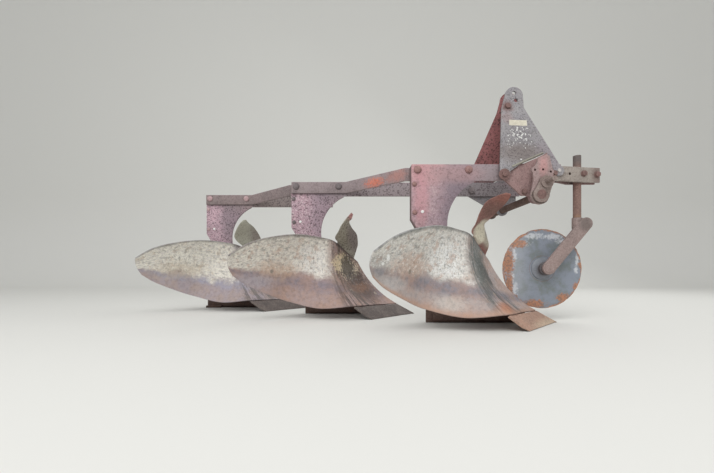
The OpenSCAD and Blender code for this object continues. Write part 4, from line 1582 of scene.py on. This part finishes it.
@dataclass
class Headstock:
    """Mast plates, side plates and mast spacer, with their bolts and the pale strip.

    Attributes:
        shop: where the pieces are made.
        plates: node, finish and width of rounding of the plates and the spacer.
        heads: size, washer, place and spin of the bolts' heads on the furrow side.
        nuts: size, place and spin of their nuts.
        left_bolts: X, nut's Z, head's Z and size of the left side plate's bolts.
        strip: corner of the pale strip as X and Z, its width and its height.
        lip: path of the rolled lip along the near mast plate's lower edge, as X and Z.
        chips_in: how many paint chips are in their field.
        chipped: lower left, lower right, upper left and upper right corners of the field of
            paint chips, as X and Z.
        lone_chip: X and Z of a chip that lies by itself.
    """

    shop: Workshop
    plates: tuple[tuple[str, str, float], ...] = (
        ("mast_plate_right", "near_mast_paint", 1.2), ("mast_plate_left", "far_mast_paint", 1.2),
        ("side_plate_right", "side_paint", 1.4), ("side_plate_left", "far_side_paint", 1.4),
        ("mast_spacer", "hidden_rust", 0.8))
    heads: tuple[tuple[float, float, Point, float], ...] = (
        (15.0, 26.0, (681, -22, 692), 0.3), (12.0, 13.0, (913, -22, 697), 0.5),
        (16.0, 17.0, (767, 150, 1083), 0.2), (14.0, 14.0, (777, -12, 614), 0.4))
    nuts: tuple[tuple[float, Point, float], ...] = (
        (19.0, (681, STANDARD_T, 692), 0.8), (19.0, (934, STANDARD_T + BAR_T, 709), 0.2),
        (16.0, (768, 222, 1094), 0.6))
    left_bolts: tuple[tuple[float, float, float, float], ...] = (
        (647, 698, 695, 21.0), (934, 709, 709, 19.0))
    strip: tuple[float, float, float, float] = (750.0, 963.0, 87.0, 34.0)
    lip: Pairs = ((716.0, 724.0), (738.0, 733.0), (758.0, 742.0), (800.0, 762.0),
                  (838.0, 779.0), (880.0, 799.0))
    chips_in: int = 76
    chipped: Pairs = ((712.0, 822.0), (850.0, 818.0), (746.0, 952.0), (838.0, 952.0))
    lone_chip: tuple[float, float] = (762.0, 763.0)

    def build(self) -> None:
        """Builds the headstock."""
        for node, finish, width in self.plates:
            self.shop.rounded(node, finish, width)
        self.bolts()
        near = NearFace("mast_plate_right")
        self.pale_strip(near)
        self.chips(near)
        self.rolled_lip(near)

    def bolts(self) -> None:
        """Adds the mast's and side plates' bolts."""
        rusty, bright, grey = bmesh.new(), bmesh.new(), bmesh.new()
        for size, washer, place, spin in self.heads:
            Bolt(size, washer).head(rusty, at(*place), Side.FURROW, spin)
        for size, place, spin in self.nuts:
            Bolt(size).nut(rusty, at(*place), Side.LAND, spin)
        for x, low, high, size in self.left_bolts:
            Bolt(size, 24.0).head(rusty, at(x, LEFT_FACE + 22, high), Side.LAND, 0.7)
            Bolt(size).nut(grey, at(x, LEFT_FACE - STANDARD_T, low), Side.FURROW, 0.4, 4.0)
        Bolt(9.5, domed=True).head(bright, at(934, -22, 710), Side.FURROW, 0.1)
        self.shop.piece("mast_bolts", rusty, Body.FRAME, "bolt_rust", "dark_rust")
        self.shop.piece("mast_bolt_bright", bright, Body.FRAME, "bolt_bright", "bare_grey")
        self.shop.piece("far_side_nuts", grey, Body.FRAME, "bolt_grey", "dark_rust")

    def pale_strip(self, near: NearFace) -> None:
        """Adds the blank strip left on the near mast plate, flat on its leaning face.

        Args:
            near: face of the plate.
        """
        x, z, wide, high = self.strip
        columns, rows = 16, 4
        grid = []
        for i in range(columns + 1):
            grid.append([])
            for j in range(rows + 1):
                chew = Vector((noise.noise(Vector((i * 1.7, j * 1.9, 5.0))),
                               noise.noise(Vector((i * 1.3, j * 2.3, 9.0))))) * 1.6
                side = x + wide * i / columns + (chew.x if i in (0, columns) else 0.0)
                side += 7.0 * j / rows
                up = z + high * j / rows - 0.05 * wide * i / columns
                up += chew.y if j in (0, rows) else 0.0
                grid[i].append((near.on(side, up, 0.9), near.on(side, up, -0.3)))
        shape = bmesh.new()
        closed_sheet(shape, grid)
        self.shop.piece("pale_strip", shape, Body.FRAME, "pale_strip", "bare_grey")

    def chips(self, near: NearFace) -> None:
        """Adds the flakes of white paint that are left on the near mast plate.

        Args:
            near: face of the plate.
        """
        rnd = random.Random(11)
        shape = bmesh.new()
        corners = [Vector(corner) for corner in self.chipped]
        for k in range(self.chips_in):
            across, up = rnd.random(), rnd.random()
            if k % 2 == 0:
                across, up = rnd.gauss(0.36, 0.22), rnd.gauss(0.7, 0.2)
            low, high = corners[0].lerp(corners[1], across), corners[2].lerp(corners[3], across)
            size = rnd.uniform(1.4, 3.2) if k % 4 else rnd.uniform(3.4, 6.0)
            self.chip(shape, near, low.lerp(high, up), size, rnd)
        self.chip(shape, near, Vector(self.lone_chip), 5.0, rnd)
        self.shop.piece("paint_chips", shape, Body.FRAME, "paint_chip", "bare_grey")

    def chip(self, shape: Mesh, near: NearFace, middle: Vector, size: float,
             rnd: random.Random) -> None:
        """Adds one flake of paint with an uneven outline.

        Args:
            shape: mesh to add to.
            near: face that it lies on.
            middle: its middle, as X and Z.
            size: its mean radius, in millimetres.
            rnd: source of its shape.
        """
        sides = 7
        outline = []
        for k in range(sides):
            angle = 2 * math.pi * k / sides
            reach = size * rnd.uniform(0.6, 1.25)
            outline.append((middle.x + reach * math.cos(angle), middle.y + reach * math.sin(angle)))
        low, high = ([near.on(x, z, lift) for x, z in outline] for lift in (-0.2, 0.7))
        if None not in low:
            skin(shape, [[shape.verts.new(point) for point in face] for face in (low, high)])

    def rolled_lip(self, near: NearFace) -> None:
        """Adds the rolled lip along the near mast plate's lower edge.

        Args:
            near: face of the plate.
        """
        path = []
        for (x, z), (x2, z2) in zip(self.lip, self.lip[1:]):
            path += [near.on(x + (x2 - x) * k / 6, z + (z2 - z) * k / 6 + 4.0, 0.5)
                     for k in range(6)]
        shape = bmesh.new()
        bead(shape, [place for place in path if place is not None], 4.2, 7)
        self.shop.piece("mast_plate_lip", shape, Body.FRAME, "lip_paint", "bare_grey")


@dataclass
class HitchShaft:
    """Cross shaft, quadrant and crank, which turn together.

    Attributes:
        shop: where the pieces are made.
        axis: X and Z of the shaft.
        end: Y of the shaft's right end.
        seam: radius and Y of the weld round the crank.
        pins: place of each hitch pin's clip, at the pin's middle.
    """

    shop: Workshop
    axis: tuple[float, float] = (829.0, 590.0)
    end: float = -72.0
    seam: tuple[float, float] = (39.0, -56.0)
    pins: tuple[Point, ...] = ((851, -130, 645), (829, 593, 590))

    def build(self) -> None:
        """Builds the shaft's pieces and small hardware."""
        self.shop.rounded("cross_shaft", "hidden_rust", 1.2)
        self.shop.rounded("quadrant", "quadrant_paint", 1.4)
        self.shop.rounded("crank", "crank_casting", 1.4)
        x, z = self.axis
        shape = bmesh.new()
        outward = facing(at(x, self.end, z), Side.FURROW)
        prism(shape, 8.0, 16, outward, ((SUNK, 1.0), (3.0, 1.0), (4.5, 0.8)))
        prism(shape, 21.0, 32, outward, ((SUNK, 1.0), (1.6, 1.0), (2.4, 0.95)))
        self.shop.piece("shaft_cap", shape, Body.HITCH, "bolt_rust", "dark_rust")
        shape = bmesh.new()
        r, y = self.seam
        angles = [math.radians(150 + 12 * k) for k in range(16)]
        bead(shape, [at(x + r * math.cos(a), y, z + r * math.sin(a)) for a in angles], 3.4, 3)
        self.shop.piece("crank_weld", shape, Body.HITCH, "crank_casting", "bare_grey")
        shape = bmesh.new()
        for place in self.pins:
            top = Matrix.Translation(at(*place) + Vector((0, 0, 0.0145)))
            prism(shape, 3.4, 12, top, ((-26, 0.9), (-25, 1.0), (-2, 1.0), (0, 0.9)))
        self.shop.piece("hitch_pin_clips", shape, Body.HITCH, "bolt_rust", "dark_rust")


@dataclass
class Coulter:
    """Disc coulter: clamp bars, shank, yoke, hub and disc.

    Attributes:
        shop: where the pieces are made.
        bars: node, finish and width of rounding of the carried-over pieces.
        blade: radius and half thickness of the disc, from its bore out to its rim.
        hub: radius and Y of the hub's section.
        worn_from: radius from which the disc's rim is chipped.
        worn_over: width over which the chips reach their whole depth.
        chips: greatest depth, frequency round the rim and seed of two kinds of chips.
        rivet_circle: radius of the circle of rivets.
        clamp_heads: X and Z of the clamp's bolts on its near bar.
        bar_turn: turn of the near bar's bent end about Z, in radians.
    """

    shop: Workshop
    bars: tuple[tuple[str, str, float], ...] = (
        ("clamp_bar_near", "clamp_paint", 1.6), ("clamp_bar_far", "far_clamp_paint", 1.6),
        ("coulter_shank", "shank_paint", 1.4), ("coulter_yoke", "coulter_paint", 1.4))
    blade: Pairs = ((12.0, 2.4), (60.0, 2.4), (110.0, 2.4), (150.0, 2.4), (173.0, 2.3),
                    (190.0, 0.7), (194.6, 0.2))
    hub: Pairs = ((10.4, 35.2), (25.0, 35.2), (30.0, 37.0), (33.0, 41.0), (33.0, 52.0),
                  (29.0, 56.0), (29.0, 66.0), (34.0, 72.0), (46.0, 75.4), (52.0, 77.0),
                  (53.8, 79.0), (53.8, 81.6), (10.4, 81.6))
    worn_from: float = 150.0
    worn_over: float = 45.0
    chips: tuple[Point, ...] = ((5.0, 5.0, 2.0), (3.0, 17.0, 9.0))
    rivet_circle: float = 43.0
    clamp_heads: Pairs = ((1063, 702), (1133, 701))
    bar_turn: float = math.atan(30 / 190)

    def build(self) -> None:
        """Builds the coulter."""
        for node, finish, width in self.bars:
            self.shop.rounded(node, finish, width)
        section = [(radius, DISC_Y - half) for radius, half in self.blade]
        section += [(radius, DISC_Y + half) for radius, half in self.blade[::-1]]
        self.shop.piece("disc_blade", self.turned(section, 160, True), Body.DISC, "disc_face",
                        "disc_steel", ("coulter_disc",), 30.0)
        self.shop.piece("hub_casting", self.turned(list(self.hub), 56, False), Body.DISC,
                        "hub_steel", "dark_rust", ("coulter_hub",), 30.0)
        self.rivets()
        self.clamp_bolts()
        self.axle_ends()

    def chip(self, angle: float) -> float:
        """Finds how deep the disc's rim is chipped at an angle.

        Args:
            angle: angle about the axle, in radians.

        Returns:
            The depth.
        """
        depth = 0.0
        for deepest, often, seed in self.chips:
            place = Vector((math.cos(angle) * often, math.sin(angle) * often, seed))
            depth += deepest * max(0.0, noise.noise(place))
        return depth

    def turned(self, section: list[tuple[float, float]], sides: int, chipped: bool) -> Mesh:
        """Builds a form turned about the axle.

        Args:
            section: radius and Y of its section's corners.
            sides: how many sections it has.
            chipped: whether its rim is chipped.

        Returns:
            The mesh.
        """
        shape = bmesh.new()
        rings = []
        for k in range(sides):
            angle = 2 * math.pi * k / sides
            chip = self.chip(angle) if chipped else 0.0
            rings.append([])
            for radius, y in section:
                r = radius - chip * max(0.0, (radius - self.worn_from) / self.worn_over) ** 2
                rings[k].append(shape.verts.new(at(AXLE[0] + r * math.cos(angle), y,
                                                   AXLE[1] + r * math.sin(angle))))
        skin(shape, rings, endless=True)
        return shape

    def rivets(self) -> None:
        """Adds the heads of the hub's rivets behind the disc."""
        shape = bmesh.new()
        for k in range(5):
            angle = 2 * math.pi * k / 5 + 0.5
            x = AXLE[0] + self.rivet_circle * math.cos(angle)
            z = AXLE[1] + self.rivet_circle * math.sin(angle)
            Bolt(9.0, domed=True).head(shape, at(x, 87, z), Side.LAND)
        self.shop.piece("hub_rivets", shape, Body.DISC, "bolt_rust", "dark_rust")

    def clamp_bolts(self) -> None:
        """Adds the clamp's bolts, square to its bent near bar, and their nuts."""
        shape = bmesh.new()
        near = NearFace("clamp_bar_near")
        turn = Matrix.Rotation(self.bar_turn, 4, "Z")
        for x, z in self.clamp_heads:
            start = len(shape.verts)
            Bolt(15.5, 14.5).head(shape, Vector((0, 0, 0)), Side.FURROW, 0.5)
            place = near.on(x, z)
            for vert in list(shape.verts)[start:]:
                vert.co = place + turn @ vert.co
        Bolt(19.0).nut(shape, at(1131, 71, 701), Side.LAND, 0.4)
        Bolt(16.0).nut(shape, at(890, 28, 700), Side.LAND, 0.4)
        self.shop.piece("clamp_bolts", shape, Body.FRAME, "bolt_rust", "dark_rust")

    def axle_ends(self) -> None:
        """Adds the yoke's axle end and the nut behind the disc."""
        x, z = AXLE
        shape = bmesh.new()
        prism(shape, 21.0, 36, facing(at(x, 14, z + 1), Side.FURROW),
              ((SUNK, 1.0), (1.4, 1.0), (2.2, 0.95)))
        self.shop.piece("axle_end", shape, Body.YOKE, "coulter_paint", "rusty_red")
        shape = bmesh.new()
        prism(shape, 17.0, 28, facing(at(x, 88.5, z), Side.LAND),
              ((-0.2, 1.0), (3.0, 1.0), (4.0, 0.95)))
        Bolt(16.0).nut(shape, at(x, 92.5, z), Side.LAND, 0.3, 1.0)
        self.shop.piece("axle_nut", shape, Body.YOKE, "bolt_rust", "dark_rust")


@dataclass
class Studio:
    """Floor, soft light and the camera of the photograph, in metres.

    Attributes:
        eye: place of the camera.
        lens: its focal length, in millimetres.
        rise: its upward shift.
        depth: Y at which the floor begins to rise.
        bend: radius of the rise.
        wall: height of the wall behind it.
        reach: half the floor's width.
        surround_light: strength of the even light.
        wall_tone: colour that is seen beyond the backdrop.
        floor_tone: colour of the floor.
    """

    eye: Point = (0.030, -1.8655, 0.250)
    lens: float = 18.4
    rise: float = 0.047
    depth: float = 3.2
    bend: float = 1.6
    wall: float = 16.0
    reach: float = 34.0
    surround_light: float = 0.62
    wall_tone: Colour = (178, 179, 174)
    floor_tone: Colour = (226, 226, 222)

    def build(self) -> None:
        """Builds the floor, the lights and the camera."""
        self.floor()
        self.light("key_light", (-0.6, -3.4, 3.6), 3.6, 120.0)
        self.light("fill_light", (2.6, 1.8, 3.2), 3.0, 40.0)
        self.surround()
        self.camera()
        bpy.context.scene.view_settings.view_transform = "Standard"

    def surround(self) -> None:
        """Lights the scene evenly from all round, and shows the backdrop's tone beyond it."""
        world = bpy.data.worlds.new("studio")
        bpy.context.scene.world = world
        world.use_nodes = True
        world.node_tree.nodes.clear()
        wires = Wiring(world.node_tree)
        even = wires.node("ShaderNodeBackground", {"Color": (1.0, 1.0, 1.0, 1.0),
                                                   "Strength": self.surround_light})
        seen = wires.node("ShaderNodeBackground", {"Color": paint(self.wall_tone)})
        path = wires.node("ShaderNodeLightPath")
        rays: Feed = 0.0
        for kind in ("Is Camera Ray", "Is Glossy Ray", "Is Transmission Ray"):
            rays = wires.maths("MAXIMUM", rays, path.outputs[kind])
        mixed = wires.node("ShaderNodeMixShader", {0: rays, 1: even.outputs["Background"],
                                                   2: seen.outputs["Background"]})
        wires.node("ShaderNodeOutputWorld", {"Surface": mixed.outputs["Shader"]})

    def floor(self) -> None:
        """Builds the pale floor with a backdrop that sweeps up behind it."""
        shape = bmesh.new()
        angles = [math.radians(9 * k) for k in range(11)]
        outline = [(-30.0, 0.0), *((self.depth + self.bend * math.sin(a),
                                    self.bend - self.bend * math.cos(a)) for a in angles),
                   (self.depth + self.bend, self.wall)]
        left, right = ([shape.verts.new((x, y, z - 0.0004)) for y, z in outline]
                       for x in (-self.reach, self.reach))
        for k in range(len(outline) - 1):
            shape.faces.new((left[k], right[k], right[k + 1], left[k + 1]))
        mesh = bpy.data.meshes.new("floor")
        shape.to_mesh(mesh)
        shape.free()
        mesh.shade_smooth()
        floor = bpy.data.objects.new("floor", mesh)
        bpy.context.scene.collection.objects.link(floor)
        material = bpy.data.materials.new("pale_floor")
        material.use_nodes = True
        shader = material.node_tree.nodes["Principled BSDF"]
        shader.inputs["Base Color"].default_value = paint(self.floor_tone)
        shader.inputs["Roughness"].default_value = 0.9
        mesh.materials.append(material)

    def light(self, name: str, place: Point, size: float, power: float) -> None:
        """Adds one soft square lamp that points at the plough.

        Args:
            name: name of the lamp.
            place: where it hangs.
            size: side of the square.
            power: its power in watts.
        """
        lamp = bpy.data.lights.new(name, "AREA")
        lamp.shape = "SQUARE"
        lamp.size = size
        lamp.energy = power
        made = bpy.data.objects.new(name, lamp)
        made.location = place
        aim = Vector((0.0, 0.2, 0.4)) - Vector(place)
        made.rotation_euler = aim.to_track_quat("-Z", "Y").to_euler()
        bpy.context.scene.collection.objects.link(made)

    def camera(self) -> None:
        """Sets the camera at the photograph's place."""
        data = bpy.data.cameras.new("camera")
        data.lens = self.lens
        data.sensor_width = 36.0
        data.shift_y = self.rise
        data.clip_start = 0.01
        made = bpy.data.objects.new("camera", data)
        made.location = self.eye
        made.rotation_euler = (math.pi / 2, 0.0, 0.0)
        bpy.context.scene.collection.objects.link(made)
        bpy.context.scene.camera = made


def main() -> None:
    """Builds the studio and every sub-assembly."""
    logging.basicConfig(level=logging.INFO, format="%(message)s")
    Studio().build()
    shop = Workshop(Palette())
    for assembly in (Beams(shop), Bottoms(shop), Headstock(shop), HitchShaft(shop),
                     Coulter(shop)):
        assembly.build()
    log.info("%d pieces made", len(shop.made))


if __name__ == "__main__":
    main()
